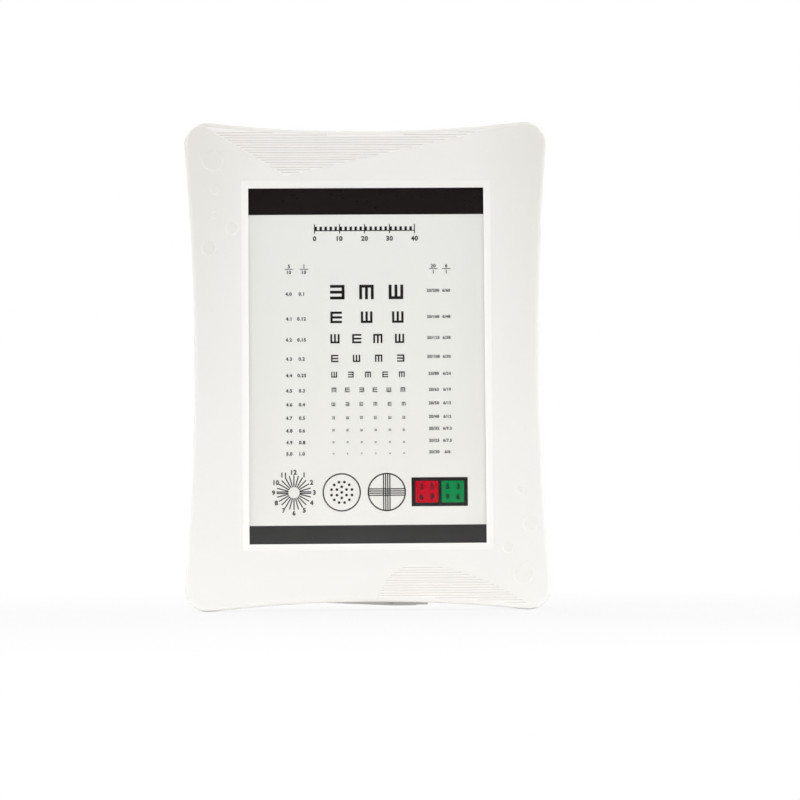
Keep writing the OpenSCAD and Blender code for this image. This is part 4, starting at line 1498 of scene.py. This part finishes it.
@dataclass
class WindowStack:
    """The layers behind the opening: pane, film, diffuser, light guide, reflector, and the tray with its lamps."""

    pane: Point = (53.6, 77.6, 1.5)
    film: Point = (53.0, 77.0, 0.3)
    diffuser: Point = (53.0, 77.0, 0.5)
    guide: Point = (50.0, 76.0, 3.0)
    reflector: Point = (50.0, 76.0, 0.3)
    tray: Point = (53.1, 77.1, 1.0)
    front_y: float = -10.0
    gap: float = 0.05
    strip: Point = (51.0, 74.0, 2.8)
    lamps: int = 12
    lead_holes: tuple[Flat, Flat] = ((-51.5, 140.0), (51.5, 118.0))
    beads: tuple[float, ...] = (47.5, 97.5, 147.5)

    def sheet(self, size: Point, y: float, corner: float, ease: float = 0.0) -> Solid:
        """Cuts one sheet.

        Args:
            size: Half its width, half its height and its thickness.
            y: Where its front is.
            corner: Radius of its corners.
            ease: Width of the rounding along its edges.

        Returns:
            The sheet.
        """
        half_w, half_h, thick = size
        outline = rounded_box(-half_w, half_w, MID_Z - half_h, MID_Z + half_h, corner)
        made = Solid.prism(outline, y, y + thick)
        return made.eased(ease, 2, 60) if ease else made

    def tray_shape(self, guide_y: float, back: float) -> Solid:
        """Makes the tray with its folded rim, its ears, its holes and its stiffening beads.

        Args:
            guide_y: Where the light guide's front is.
            back: Where the tray's back is.

        Returns:
            The tray.
        """
        half_w, half_h, thick = self.tray
        floor = back - thick
        tray = self.sheet((half_w, half_h, back - guide_y), guide_y, 1.4, 0.4)
        inner = rounded_box(-half_w + 1, half_w - 1, MID_Z - 76.1, MID_Z + 76.1, 0.5)
        tray = tray - Solid.prism(inner, guide_y - 1, floor)
        for x, _, z in four(TRAY_EAR):
            ends = sorted((math.copysign(52.5, x), math.copysign(61, x)))
            tray = tray + Solid.prism(rounded_box(*ends, z - 5, z + 5, 1.8), floor, back)
            tray = tray - Solid.turned([(floor - 1, 1.25), (back + 1, 1.25)], Axis.Y, (x, 0, z), 32)
        for x, z in self.lead_holes:
            tray = tray - Solid.turned([(floor - 1, 1.0), (back + 1, 1.0)], Axis.Y, (x, 0, z), 32)
        for z in self.beads:
            tray = tray - Solid.prism(rounded_box(-38, 38, z - 1.5, z + 1.5, 1.4), back + 0.3, back - 0.35, 0.5)
        return tray

    def lamp_row(self, side: int, guide_y: float) -> tuple[Solid, Solid, Solid]:
        """Makes the lamps of one strip.

        Args:
            side: The side of the light guide, -1 or 1.
            guide_y: Where the guide's front is.

        Returns:
            The cups, their gel and their solder pads.
        """
        edge, half, _ = self.strip
        cups, gels, pads = [], [], []
        step = (2 * half - 12) / (self.lamps - 1)
        for i in range(self.lamps):
            y0, z0 = guide_y + 0.4, MID_Z - half + 4.25 + i * step
            cup = Solid.box(edge - 0.85, edge, y0, y0 + 2.2, z0, z0 + 3.5).eased(0.08, 1)
            cup = cup - Solid.box(edge - 2, edge - 0.45, y0 + 0.3, y0 + 1.9, z0 + 0.45, z0 + 3.05)
            gel = Solid.box(edge - 0.8, edge - 0.44, y0 + 0.31, y0 + 1.89, z0 + 0.46, z0 + 3.04).eased(0.12, 2)
            pair = [
                Solid.box(edge - 0.22, edge + 0.02, y0 + 0.5, y0 + 1.7, z0 + at, z0 + at + 0.5)
                for at in (-0.45, 3.45)
            ]
            for row, parts in ((cups, [cup]), (gels, [gel]), (pads, pair)):
                row.extend(part if side > 0 else part.flipped(0) for part in parts)
        return Solid.group(cups), Solid.group(gels), Solid.group(pads)

    def build(self) -> None:
        """Builds the layers from the front to the back, in place of their CAD nodes."""
        y = self.front_y
        starts = {}
        for name, size, corner, ease, finish, slot, node in (
            ("clear_pane", self.pane, 1.0, 0.2, PANE, "window_clear", "window_pane"),
            ("film_base", self.film, 1.5, 0.0, FILM, "chart_print", "chart_film"),
            ("opal_diffuser", self.diffuser, 1.5, 0.0, DIFFUSER, "diffuser_white", "diffuser_sheet"),
            ("edge_lit_guide", self.guide, 0.6, 0.15, GUIDE, "guide_clear", "light_guide"),
            ("foil_reflector", self.reflector, 0.6, 0.0, REFLECTOR, "reflector_silver", "reflector_sheet"),
        ):
            starts[node] = y
            self.sheet(size, y, corner, ease).piece(name, finish, slot, [node])
            y += size[2] + self.gap
        guide_y = starts["light_guide"]
        tray = self.tray_shape(guide_y, y + self.tray[2])
        tray.piece("folded_tray", TRAY, "tray_metal", ["backlight_tray"])
        for side, word in ((-1, "left"), (1, "right")):
            cups, gels, pads = self.lamp_row(side, guide_y)
            cups.piece(f"lamp_cups_{word}", STRIP, "strip_white", [f"leds_{word}"])
            gels.piece(f"lamp_gel_{word}", GEL, "lamp_yellow", [f"leds_{word}"])
            pads.piece(f"lamp_pads_{word}", NICKEL, "contact_nickel")
            dress(f"led_strip_{word}", STRIP)


class Facing(Enum):
    """Which way the three prongs of a test sign point, in quarter turns from the right."""

    RIGHT = 0
    UP = 1
    LEFT = 2
    DOWN = 3


class Printing:
    """Flat shapes and figures in one ink, with X and Z measured from the middle of the case."""

    def __init__(self) -> None:
        """Starts with nothing on the sheet."""
        self.shapes: list[list[Flat]] = []
        self.figures: list[tuple[str, float, float, float]] = []

    def shape(self, *points: Flat) -> None:
        """Adds a closed shape by its corners."""
        self.shapes.append(list(points))

    def bar(self, x0: float, x1: float, z0: float, z1: float) -> None:
        """Adds an upright rectangle."""
        self.shape((x0, z0), (x1, z0), (x1, z1), (x0, z1))

    def stroke(self, start: Flat, end: Flat, width: float) -> None:
        """Adds a straight line with square ends."""
        along = (Vector(end) - Vector(start)).normalized()
        side = Vector((-along.y, along.x)) * (width / 2)
        a, b = Vector(start), Vector(end)
        self.shape(*[tuple(p) for p in (a - side, b - side, b + side, a + side)])

    def disc(self, x: float, z: float, radius: float, steps: int = 24) -> None:
        """Adds a dot."""
        self.shape(*arc((x, z), radius, 0, 360, steps)[:-1])

    def hoop(self, x: float, z: float, radius: float, width: float, steps: int = 96) -> None:
        """Adds a thin circle."""
        outer = arc((x, z), radius + width / 2, 0, 360, steps)
        inner = arc((x, z), radius - width / 2, 0, 360, steps)
        for i in range(steps):
            self.shape(inner[i], outer[i], outer[i + 1], inner[i + 1])

    def figure(self, text: str, x: float, z: float, height: float) -> None:
        """Adds a number, centred on a point."""
        self.figures.append((text, x, z, height))

    def sign(self, x: float, z: float, size: float, facing: Facing) -> None:
        """Adds one three-pronged test sign, five units square.

        Args:
            x: Its middle.
            z: Its middle.
            size: Its width and height.
            facing: Where its prongs point.
        """
        unit = size / 5
        corners = [
            (-2.5, -2.5), (2.5, -2.5), (2.5, -1.5), (-1.5, -1.5), (-1.5, -0.5), (2.5, -0.5),
            (2.5, 0.5), (-1.5, 0.5), (-1.5, 1.5), (2.5, 1.5), (2.5, 2.5), (-2.5, 2.5),
        ]
        for _ in range(facing.value):
            corners = [(-b, a) for a, b in corners]
        self.shape(*[(x + a * unit, z + b * unit) for a, b in corners])

    def written(self) -> list[bpy.types.Mesh]:
        """Returns a flat mesh for each figure, in place."""
        made = []
        for text, *_ in self.figures:
            curve = bpy.data.curves.new("figure", "FONT")
            curve.body, curve.resolution_u = text, 5
            curve.offset, curve.space_character = 0.045, 1.12
            made.append(placed("figure", curve))
        bpy.context.view_layer.update()
        depsgraph = bpy.context.evaluated_depsgraph_get()
        meshes = [bpy.data.meshes.new_from_object(item.evaluated_get(depsgraph)) for item in made]
        for item, mesh, (_, x, z, height) in zip(made, meshes, self.figures):
            bpy.data.objects.remove(item)
            low, high = (
                Vector([pick(vertex.co[k] for vertex in mesh.vertices) for k in range(3)]) for pick in (min, max)
            )
            mesh.transform(
                Matrix.Translation((x, 0, MID_Z + z)) @ Matrix.Rotation(math.pi / 2, 4, "X")
                @ Matrix.Scale(height / (high.y - low.y), 4) @ Matrix.Translation(-(low + high) / 2)
            )
        return meshes

    def build(self, name: str, finish: Finish, y: float, shift: Flat) -> None:
        """Turns all that was added into one piece.

        Args:
            name: The piece's name.
            finish: Its ink.
            y: The depth that it lies at.
            shift: How far the print sits from the middle, sideways and up.
        """
        points, faces = [], []
        for shape in self.shapes:
            faces.append(list(range(len(points), len(points) + len(shape))))
            points += [(x, y, MID_Z + z) for x, z in shape]
        sheet = Solid(points, faces)

        def join(mesh: bmesh.types.BMesh) -> None:
            """Brings the figures in at the print's depth, and turns every face to the front."""
            start = len(mesh.verts)
            for figure in self.written():
                mesh.from_mesh(figure)
            mesh.verts.ensure_lookup_table()
            for vertex in mesh.verts[start:]:
                vertex.co.y = y
            mesh.normal_update()
            bmesh.ops.reverse_faces(mesh, faces=[face for face in mesh.faces if face.normal.y > 0])

        sheet.edit(join).moved(shift[0], 0, shift[1]).piece(name, finish, "chart_print")


@dataclass
class ChartPrint:
    """All that is printed on the film: bands, scale, test signs with their numbers, and four test figures."""

    ink: Printing = field(default_factory=Printing)
    film_y: float = -8.45
    layer: float = 0.012
    largest: float = 5.82
    foot: float = -50.3
    shift: Flat = (0.28, -0.28)
    line: float = 0.54
    ring: float = 7.36
    figures: tuple[float, ...] = (-29.65, -10.66, 7.25, 28.3)

    def bands_and_scale(self) -> None:
        """Prints the two black bands and the short ruler scale under the upper one."""
        self.ink.bar(-51, 51, 60.8, 74)
        self.ink.bar(-51, 51, -74, -63.4)
        self.ink.bar(-20.9, 19.1, 54.2, 54.6)
        for i in range(20):
            self.ink.bar(-20.9 + 2 * i, -19.9 + 2 * i, 54.5, 56.0)
        for i in range(5):
            self.ink.bar(-21.1 + 10 * i, -20.7 + 10 * i, 53.2, 57.0)
            self.ink.figure(str(10 * i), -20.9 + 10 * i, 51.2, 2.0)
        for x, over, under in ((-31.2, "5", "10"), (-25.2, "1", "10"), (26.5, "20", "1"), (31.7, "6", "1")):
            self.ink.figure(over, x, 40.1, 1.45)
            self.ink.bar(x - 1.7, x + 1.7, 38.75, 39.05)
            self.ink.figure(under, x, 37.7, 1.45)

    def signs(self) -> None:
        """Prints the eleven rows of test signs and the columns of numbers beside them."""
        up, down, left, right = Facing.UP, Facing.DOWN, Facing.LEFT, Facing.RIGHT
        small = (-13.76, -8.18, -2.61, 2.96, 8.66, 14.24)
        rows: list[tuple[float, Sequence[float], Sequence[Facing]]] = [
            (29.65, (-11.94, -0.28, 11.51), (left, down, up)),
            (19.54, (-12.46, -0.28, 12.16), (right, up, up)),
            (10.99, (-12.98, -4.30, 4.13, 12.81), (up, right, down, up)),
            (3.08, (-13.11, -4.43, 4.39, 13.20), (right, up, down, left)),
            (-3.40, (-13.37, -6.76, 0.11, 6.98, 13.59), (up, left, down, right, down)),
            (-9.50, (-13.50, -8.18, -2.48, 2.83, 8.40, 13.98), (down, right, left, right, up, down)),
            (-15.20, small, (up, left, right, down, right, down)),
            (-20.65, small, (left, up, down, right, up, left)),
            (-25.57, small, (down, right, up, left, down, right)),
            (-30.37, small, (right, down, left, up, right, up)),
            (-34.90, small, (up, right, down, left, up, down)),
        ]
        for i, (z, places, facings) in enumerate(rows):
            for x, facing in zip(places, facings):
                self.ink.sign(x, z, self.largest / 10 ** (0.1 * i), facing)
        left_z = (29.0, 19.0, 10.6, 2.95, -3.66, -9.75, -15.3, -20.65, -25.7, -30.4, -34.9)
        right_z = (30.2, 19.7, 11.25, 3.7, -3.1, -9.5, -14.9, -20.3, -25.05, -29.85, -34.4)
        share = ("0.1", "0.12", "0.15", "0.2", "0.25", "0.3", "0.4", "0.5", "0.6", "0.8", "1.0")
        over = (200, 160, 125, 100, 80, 63, 50, 40, 32, 25, 20)
        under = ("60", "48", "38", "30", "24", "19", "15", "12", "9.5", "7.5", "6")
        for i in range(11):
            self.ink.figure(f"{4 + i / 10:.1f}", -31.4, left_z[i], 1.45)
            self.ink.figure(share[i], -26.3, left_z[i], 1.45)
            self.ink.figure(f"20/{over[i]}", 26.3, right_z[i], 1.3)
            self.ink.figure(f"6/{under[i]}", 31.6, right_z[i], 1.3)

    def dial(self, x: float) -> None:
        """Prints the dial of rays with its twelve numbers.

        Args:
            x: Its middle.
        """
        for i in range(24):
            angle = math.radians(15 * i)
            out, across = Vector((math.sin(angle), math.cos(angle))), Vector((math.cos(angle), -math.sin(angle)))
            for shift in (-0.3, 0.3) if i in (6, 18) else (0.0,):
                start, end = out * 2.25 + across * shift, out * 6.9 + across * shift
                self.ink.stroke((x + start.x, self.foot + start.y), (x + end.x, self.foot + end.y), 0.45)
        for hour in range(1, 13):
            angle = math.radians(30 * hour)
            self.ink.figure(str(hour), x + 8.1 * math.sin(angle), self.foot + 8.1 * math.cos(angle), 1.95)

    def dots(self, x: float) -> None:
        """Prints the circle of dots.

        Args:
            x: Its middle.
        """
        self.ink.hoop(x, self.foot, self.ring, self.line)
        self.ink.disc(x, self.foot, self.line)
        for count, radius, first in ((6, 2.2, 30), (12, 4.2, 15)):
            for spot in arc((x, self.foot), radius, first, first + 360, count)[:-1]:
                self.ink.disc(*spot, self.line)

    def cross(self, x: float) -> None:
        """Prints the circle with a bundle of upright lines across a bundle of level ones.

        Args:
            x: Its middle.
        """
        self.ink.hoop(x, self.foot, self.ring, self.line)
        for i in range(4):
            shift = -1.26 + 0.84 * i
            reach = math.sqrt(self.ring**2 - shift**2) - 0.1
            self.ink.stroke((x + shift, self.foot - reach), (x + shift, self.foot + reach), 0.46)
            self.ink.stroke((x - reach, self.foot + shift), (x + reach, self.foot + shift), 0.46)

    def two_colours(self, x: float) -> None:
        """Prints the red and green panel, with numbers on both colours.

        Args:
            x: Its middle.
        """
        z, coat, top = self.foot, self.film_y - 2 * self.layer, self.film_y - 3 * self.layer
        self.ink.bar(x - 11.2, x + 11.2, z - 5.75, z + 5.75)
        numbers = Printing()
        for name, finish, middle, half, pairs in (
            ("print_red", INK_RED, x - 5.1, (4.5, 4.3), ("35", "69")),
            ("print_green", INK_GREEN, x + 5.25, (4.45, 4.3), ("53", "96")),
        ):
            square = Printing()
            square.bar(middle - half[0], middle + half[0], z - half[1], z + half[1])
            square.build(name, finish, coat, self.shift)
            for k, pair in enumerate(pairs):
                for j, text in enumerate(pair):
                    numbers.figure(text, middle - 2.1 + 4.2 * j, z + 2.1 - 4.1 * k, 2.5)
        numbers.build("print_numbers", INK, top, self.shift)

    def build(self) -> None:
        """Prints the film."""
        self.bands_and_scale()
        self.signs()
        for draw, x in zip((self.dial, self.dots, self.cross, self.two_colours), self.figures):
            draw(x)
        self.ink.build("print_black", INK, self.film_y - self.layer, self.shift)


# ---- The electronics ----


@dataclass
class Electronics:
    """The driver board with its plated holes, chip, choke, capacitor and chip resistors."""

    corner: Flat = (30.0, 74.0)
    size: Flat = (28.0, 40.0)
    face: float = 4.0
    thickness: float = 1.6
    joints: tuple[Flat, ...] = ((42.5, 80), (36.5, 80), (40, 108), (36, 108), (46, 108), (52, 108))
    chip_legs: tuple[float, ...] = (91.85, 93.25, 94.65, 96.05)
    choke: Flat = (35.5, 93)
    capacitor: Flat = (52.5, 93)

    def standing(self, profile: Sequence[Flat], x: float, z: float, steps: int = 48) -> Solid:
        """Turns a profile of heights over the board's face and radii at a place on the board."""
        return Solid.turned([(self.face - rise, radius) for rise, radius in profile], Axis.Y, (x, 0, z), steps)

    def board(self) -> Solid:
        """Returns the board."""
        x, z = self.corner
        outline = rounded_box(x, x + self.size[0], z, z + self.size[1], 1.2)
        board = Solid.prism(outline, self.face, self.face + self.thickness)
        for spot in BOARD_HOLES:
            board = board - self.standing([(1, 1.15), (-self.thickness - 1, 1.15)], *spot, 32)
        return board

    def solder(self) -> Solid:
        """Returns the solder cones at the leads and the pads of the small parts."""
        cone = [(0.55, 0.62), (0.45, 0.72), (0.15, 1.0), (-0.02, 1.35)]
        made = [self.standing(cone, *spot, 24) for spot in self.joints]
        for z in self.chip_legs:
            for x in (40.3, 47.1):
                made.append(Solid.box(x, x + 0.6, self.face - 0.04, self.face + 0.02, z - 0.35, z + 0.35))
        return Solid.group(made)

    def chip(self) -> tuple[Solid, Solid]:
        """Returns the chip's body and its bent legs."""
        outline = rounded_box(41.5, 46.5, 91, 97, 0.25)
        body = Solid.prism(outline, self.face - 1.5, self.face - 0.15).eased(0.18, 1, 60)
        body = body - self.standing([(2, 0.4), (1.4, 0.34)], 42.4, 96.1, 20)
        reach = [(0.0, -0.9), (0.45, -0.9), (0.75, -0.75), (0.8, -0.2), (0.95, -0.06), (1.15, -0.04)]
        legs = []
        for z in self.chip_legs:
            for side in (-1, 1):
                ring = [(44 + side * (2.4 + a), self.face + b) for a, b in reach]
                ring += [(x, y - 0.14) for x, y in reversed(ring)]
                legs.append(Solid.loft([[(x, y, at) for x, y in ring] for at in (z - 0.25, z + 0.25)]))
        return body, Solid.group(legs)

    def small_parts(self) -> tuple[Solid, Solid]:
        """Returns the chip resistors' bodies and their metal ends."""
        def block(x: float, z: float, upright: bool, short: float, long: float, y0: float, y1: float) -> Solid:
            """Returns an eased block on the board, with its long side up or across."""
            half_x, half_z = (short, long) if upright else (long, short)
            box = Solid.box(x - half_x, x + half_x, self.face - y0, self.face - y1, z - half_z, z + half_z)
            return box.eased(0.06, 1)

        bodies, ends = [], []
        for x, z, upright in (
            (40.5, 86.5, True), (43.5, 86.5, True), (46.5, 86.5, True), (41, 101.5, False), (46, 101.5, False),
            (50.5, 101, True), (35, 100.5, False),
        ):
            bodies.append(block(x, z, upright, 0.6, 1.0, 0.5, 0.02))
            for step in (-0.95, 0.95):
                middle = (x, z + step) if upright else (x + step, z)
                ends.append(block(*middle, upright, 0.63, 0.25, 0.54, 0.0))
        return Solid.group(bodies), Solid.group(ends)

    def coil(self) -> tuple[Solid, Solid]:
        """Returns the choke's drum and its winding."""
        drum = [
            (4.4, 3.7), (4.3, 3.9), (3.5, 3.9), (3.4, 3.7), (3.4, 2.6),
            (1.0, 2.6), (1.0, 3.7), (0.9, 3.9), (0.1, 3.9), (0.0, 3.7),
        ]
        winding = [(3.4, 2.55)]
        for i in range(6):
            winding += [
                (3.2 - 0.4 * i - 0.2 * math.sin(a), 2.8 + 0.2 * math.cos(a)) for a in (-1.5, -0.8, 0.0, 0.8, 1.5)
            ]
        winding.append((1.0, 2.55))
        return self.standing(drum, *self.choke), self.standing(winding, *self.choke)

    def can(self) -> tuple[Solid, Solid]:
        """Returns the capacitor's scored can and its sleeve."""
        x, z = self.capacitor
        vessel = self.standing([(5.2, 2.3), (5.18, 2.6), (4.95, 2.9), (4.0, 2.95), (0.2, 2.95), (0.0, 2.8)], x, z)
        for long, short in ((1.7, 0.12), (0.12, 1.7)):
            score = Solid.box(x - long, x + long, self.face - 6, self.face - 5.08, z - short, z + short)
            vessel = vessel - score
        sleeve = [(4.9, 2.93), (4.85, 3.08), (1.3, 3.08), (1.1, 3.0), (0.9, 3.08), (0.2, 3.08), (0.15, 2.93)]
        return vessel, self.standing(sleeve, x, z)

    def build(self) -> None:
        """Builds the board and all that sits on it, in place of the CAD nodes."""
        chip, legs = self.chip()
        bodies, ends = self.small_parts()
        drum, winding = self.coil()
        vessel, sleeve = self.can()
        for name, solid, finish, slot, nodes in (
            ("board_laminate", self.board(), BOARD, "board_green", ["driver_board"]),
            ("board_solder", self.solder(), CAN, "contact_nickel", []),
            ("chip_body", chip, CHIP, "chip_black", ["driver_chip"]),
            ("chip_legs", legs, CAN, "contact_nickel", ["driver_chip"]),
            ("resistor_bodies", bodies, CHIP, "chip_black", []),
            ("resistor_ends", ends, CAN, "contact_nickel", []),
            ("choke_drum", drum, FERRITE, "ferrite_grey", ["choke_coil"]),
            ("choke_winding", winding, COPPER, "ferrite_grey", ["choke_coil"]),
            ("capacitor_can", vessel, CAN, "capacitor_metal", ["smoothing_capacitor"]),
            ("capacitor_sleeve", sleeve, SLEEVE, "capacitor_metal", ["smoothing_capacitor"]),
        ):
            solid.piece(name, finish, slot, nodes)


@dataclass
class Leads:
    """The six insulated leads, each on a smooth line through its route's points."""

    steps: int = 8
    sides: int = 16
    board: float = 3.95

    def down(self, x: float, z: float) -> list[Point]:
        """Returns the last points of a route that goes back through the air to a joint on the board."""
        return [(x, 2, z), (x, 3, z), (x, self.board, z)]

    def routes(self) -> dict[str, tuple[Sequence[Point], float, Finish, str]]:
        """Returns each lead's route, radius, finish and slot by its CAD node."""
        return {
            "lead_inlet": ([
                (53.95, 4.5, 62), (53, 4.5, 62), (51, 4.5, 62), (46, 2.5, 66), (43.5, 0.6, 72), (42.5, 0.3, 77),
                *self.down(42.5, 80),
            ], 0.7, LEAD_BLACK, "lead_black"),
            "lead_switch": ([
                (22, 3.4, 12.05), (22, 3.4, 13), (22.4, 3.4, 15), (27, 3, 22), (28, 2, 40), (29, 1, 58),
                (34, 0.3, 72), (36.5, 0.5, 77), *self.down(36.5, 80),
            ], 0.7, LEAD_BLUE, "lead_blue"),
            "lead_battery_plus": ([
                (29.35, 7, 146), (30.3, 7, 146), (32, 7, 145), (35, 5, 138), (38, 1.5, 128), (40, 0.3, 118),
                (40, 0.5, 111), *self.down(40, 108),
            ], 0.55, LEAD_RED, "lead_red"),
            "lead_battery_minus": ([
                (-29.35, 7, 169), (-30.3, 7, 169), (-32, 7, 168), (-34, 4, 160), (-33.5, 3, 145), (-33, 2.6, 136),
                (-29, 1.6, 131.5), (-15, 0.6, 130.4), (0, 0.4, 130.2), (20, 0.4, 130), (31, 0.4, 126),
                (35, 0.4, 116), *self.down(36, 108),
            ], 0.55, LEAD_BLACK, "lead_black"),
            "lead_led_left": ([
                *self.down(46, 108)[::-1], (46, 0.3, 112), (44, -0.6, 122), (38, -0.8, 131), (28, -1, 133.8),
                (0, -1, 134), (-30, -1, 134), (-46, -1, 134.5), (-51, -1.3, 138), (-51.5, -2.6, 140),
                (-51.5, -4.5, 140),
            ], 0.7, LEAD_WHITE, "lead_white"),
            "lead_led_right": ([
                *self.down(52, 108)[::-1], (52, 0.4, 112), (51.6, -1, 116), (51.5, -2.6, 118), (51.5, -4.5, 118),
            ], 0.7, LEAD_WHITE, "lead_white"),
        }

    def smooth(self, route: Sequence[Point]) -> list[Vector]:
        """Runs a smooth line through a route's points.

        Args:
            route: The points.

        Returns:
            Closer points on the smooth line.
        """
        spots = [Vector(p) for p in route]
        line = []
        for i in range(len(spots) - 1):
            a, b, c, d = spots[max(i - 1, 0)], spots[i], spots[i + 1], spots[min(i + 2, len(spots) - 1)]
            for k in range(self.steps):
                t = k / self.steps
                cubic = (3 * b - a - 3 * c + d) * t**3
                line.append(0.5 * (2 * b + (c - a) * t + (2 * a - 5 * b + 4 * c - d) * t**2 + cubic))
        return [*line, spots[-1]]

    def build(self) -> None:
        """Builds each lead in place of its CAD node."""
        for node, (route, radius, finish, slot) in self.routes().items():
            tube = Solid.tube(self.smooth(route), radius, self.sides)
            tube.piece(node.replace("lead", "wire", 1), finish, slot, [node], crisp=40)


# ---- The studio ----


@dataclass
class Studio:
    """The pale floor, the soft light and the camera in front."""

    distance: float = 0.95
    lens: float = 107.86
    eye_x: float = -0.00854
    eye_z: float = 0.02482
    aim: Point = (0.01299, -0.012, 0.08333)
    roll: float = 0.446
    ambient: float = 0.16
    lamps: tuple[tuple[str, Point, Flat, float], ...] = (
        ("soft_top", (-0.20, -0.30, 1.50), (1.0, 1.0), 8.7),
        ("soft_low", (0.0, -0.80, 0.14), (0.5, 0.5), 1.0),
        ("soft_strip", (0.03, -0.70, 0.008), (0.3, 0.012), 1.25),
        ("soft_table", (0.0, 0.0, 0.0004), (0.26, 0.20), 0.030),
        ("soft_right", (1.30, -0.20, 0.30), (0.6, 0.6), 6.2),
        ("soft_left", (-1.30, -0.20, 0.30), (0.6, 0.6), 4.75),
        ("soft_back_left", (-0.60, 1.20, 1.00), (0.9, 0.9), 9.0),
        ("soft_back_right", (0.70, 1.10, 0.70), (0.9, 0.9), 5.4),
    )

    def world(self) -> None:
        """Makes the surroundings: white to the camera, plain grey to the object, and a soft studio in its gloss."""
        world = bpy.data.worlds.new("studio_air")
        bpy.context.scene.world = world
        tree = Tree(world)
        path = tree.add("ShaderNodeLightPath")
        way = tree.add("ShaderNodeSeparateXYZ", None, {0: tree.spot("Generated")})
        sides = tree.ramp(way.out("Y"), -0.95, -0.50)
        high = tree.ramp(way.out("Z"), 0.35, 0.95)
        low = tree.ramp(0 - way.out("Z"), -0.025, 0.005)
        gloss = sides * 1.7 + high * 0.4 + low * 1.5 + 0.02
        seen = (path.out("Is Camera Ray") + path.out("Is Transmission Ray")).held()
        studio = tree.add("ShaderNodeCombineXYZ", None, {0: gloss, 1: gloss, 2: gloss})
        grey, white = (*(self.ambient,) * 3, 1.0), (1.0, 1.0, 1.0, 1.0)
        air = tree.paint(grey, (white, seen), (studio, path.out("Is Glossy Ray")))
        tree.show(tree.add("ShaderNodeBackground", None, {"Color": air, "Strength": 1.0}), "ShaderNodeOutputWorld")

    def floor(self) -> None:
        """Lays the floor: white to the camera further out, with the object's shadow near it."""
        mesh = bpy.data.meshes.new("studio_floor")
        mesh.from_pydata([(-9, -9, 0), (9, -9, 0), (9, 9, 0), (-9, 9, 0)], [], [(0, 1, 2, 3)])
        item = placed("studio_floor", mesh)
        paper = bpy.data.materials.new("studio_paper")
        tree = Tree(paper)
        away = tree.add("ShaderNodeVectorMath", {"operation": "LENGTH"}, {0: tree.spot()}).out("Value")
        path = tree.add("ShaderNodeLightPath")
        near = tree.ramp(away, 0.04, 0.40) * 0.18 + 0.82
        share = path.out("Is Camera Ray") * near + path.out("Is Glossy Ray") * 0.4
        matt = tree.add("ShaderNodeBsdfDiffuse", None, {"Color": (0.80, 0.80, 0.80, 1.0)})
        glow = tree.add("ShaderNodeEmission", None, {"Color": (1.0, 1.0, 1.0, 1.0), "Strength": 1.0})
        tree.show(tree.add("ShaderNodeMixShader", None, {0: share, 1: matt, 2: glow}))
        mesh.materials.append(paper)

    def lamp(self, name: str, spot: Point, size: Flat, watts: float) -> None:
        """Hangs one soft lamp that points at the middle of the object.

        Args:
            name: Its name.
            spot: Where it hangs, in metres.
            size: Its width and height.
            watts: Its power.
        """
        light = bpy.data.lights.new(name, "AREA")
        light.shape = "RECTANGLE"
        light.size, light.size_y, light.energy = *size, watts
        item = placed(name, light)
        item.location = spot
        item.rotation_euler = (Vector((0.0, 0.0, 0.09)) - Vector(spot)).to_track_quat("-Z", "Y").to_euler()
        item.visible_camera = item.visible_glossy = False

    def camera(self) -> None:
        """Sets up the camera."""
        data = bpy.data.cameras.new("studio_camera")
        data.lens, data.sensor_width = self.lens, 36.0
        data.clip_start = 0.05
        item = placed("studio_camera", data)
        spot = Vector((self.eye_x, self.aim[1] - self.distance, self.eye_z))
        turn = (Vector(self.aim) - spot).to_track_quat("-Z", "Y").to_matrix().to_4x4()
        item.matrix_world = Matrix.Translation(spot) @ turn @ Matrix.Rotation(math.radians(-self.roll), 4, "Z")
        bpy.context.scene.camera = item

    def build(self) -> None:
        """Sets up the whole studio."""
        self.world()
        self.floor()
        for lamp in self.lamps:
            self.lamp(*lamp)
        self.camera()
        bpy.context.scene.view_settings.view_transform = "Standard"


def main() -> None:
    """Builds every sub-assembly in order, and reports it."""
    logging.basicConfig(level=logging.INFO, format="%(name)s: %(message)s")
    board = Electronics()
    holes = [(x, board.face, z) for x, z in BOARD_HOLES]
    parts = (
        Studio(), FrontShell(), RearShell(), WindowStack(), ChartPrint(), StandLeg(), BatteryBay(), PowerParts(),
        board,
        CrossScrews("pan_screws_case", "case_screws", four(CASE_SCREW, 5.0), 13.0, 1.25, (2.4, 1.7)),
        CrossScrews("pan_screws_tray", "tray_screws", four(TRAY_EAR, -3.15), 5.0, 0.98, (2.0, 1.3)),
        CrossScrews("pan_screws_board", "board_screws", holes, 4.8, 0.9, (1.9, 1.2), faces_front=True),
        Leads(),
    )
    for part in parts:
        log.info("building %s", type(part).__name__)
        part.build()


if __name__ == "__main__":
    main()
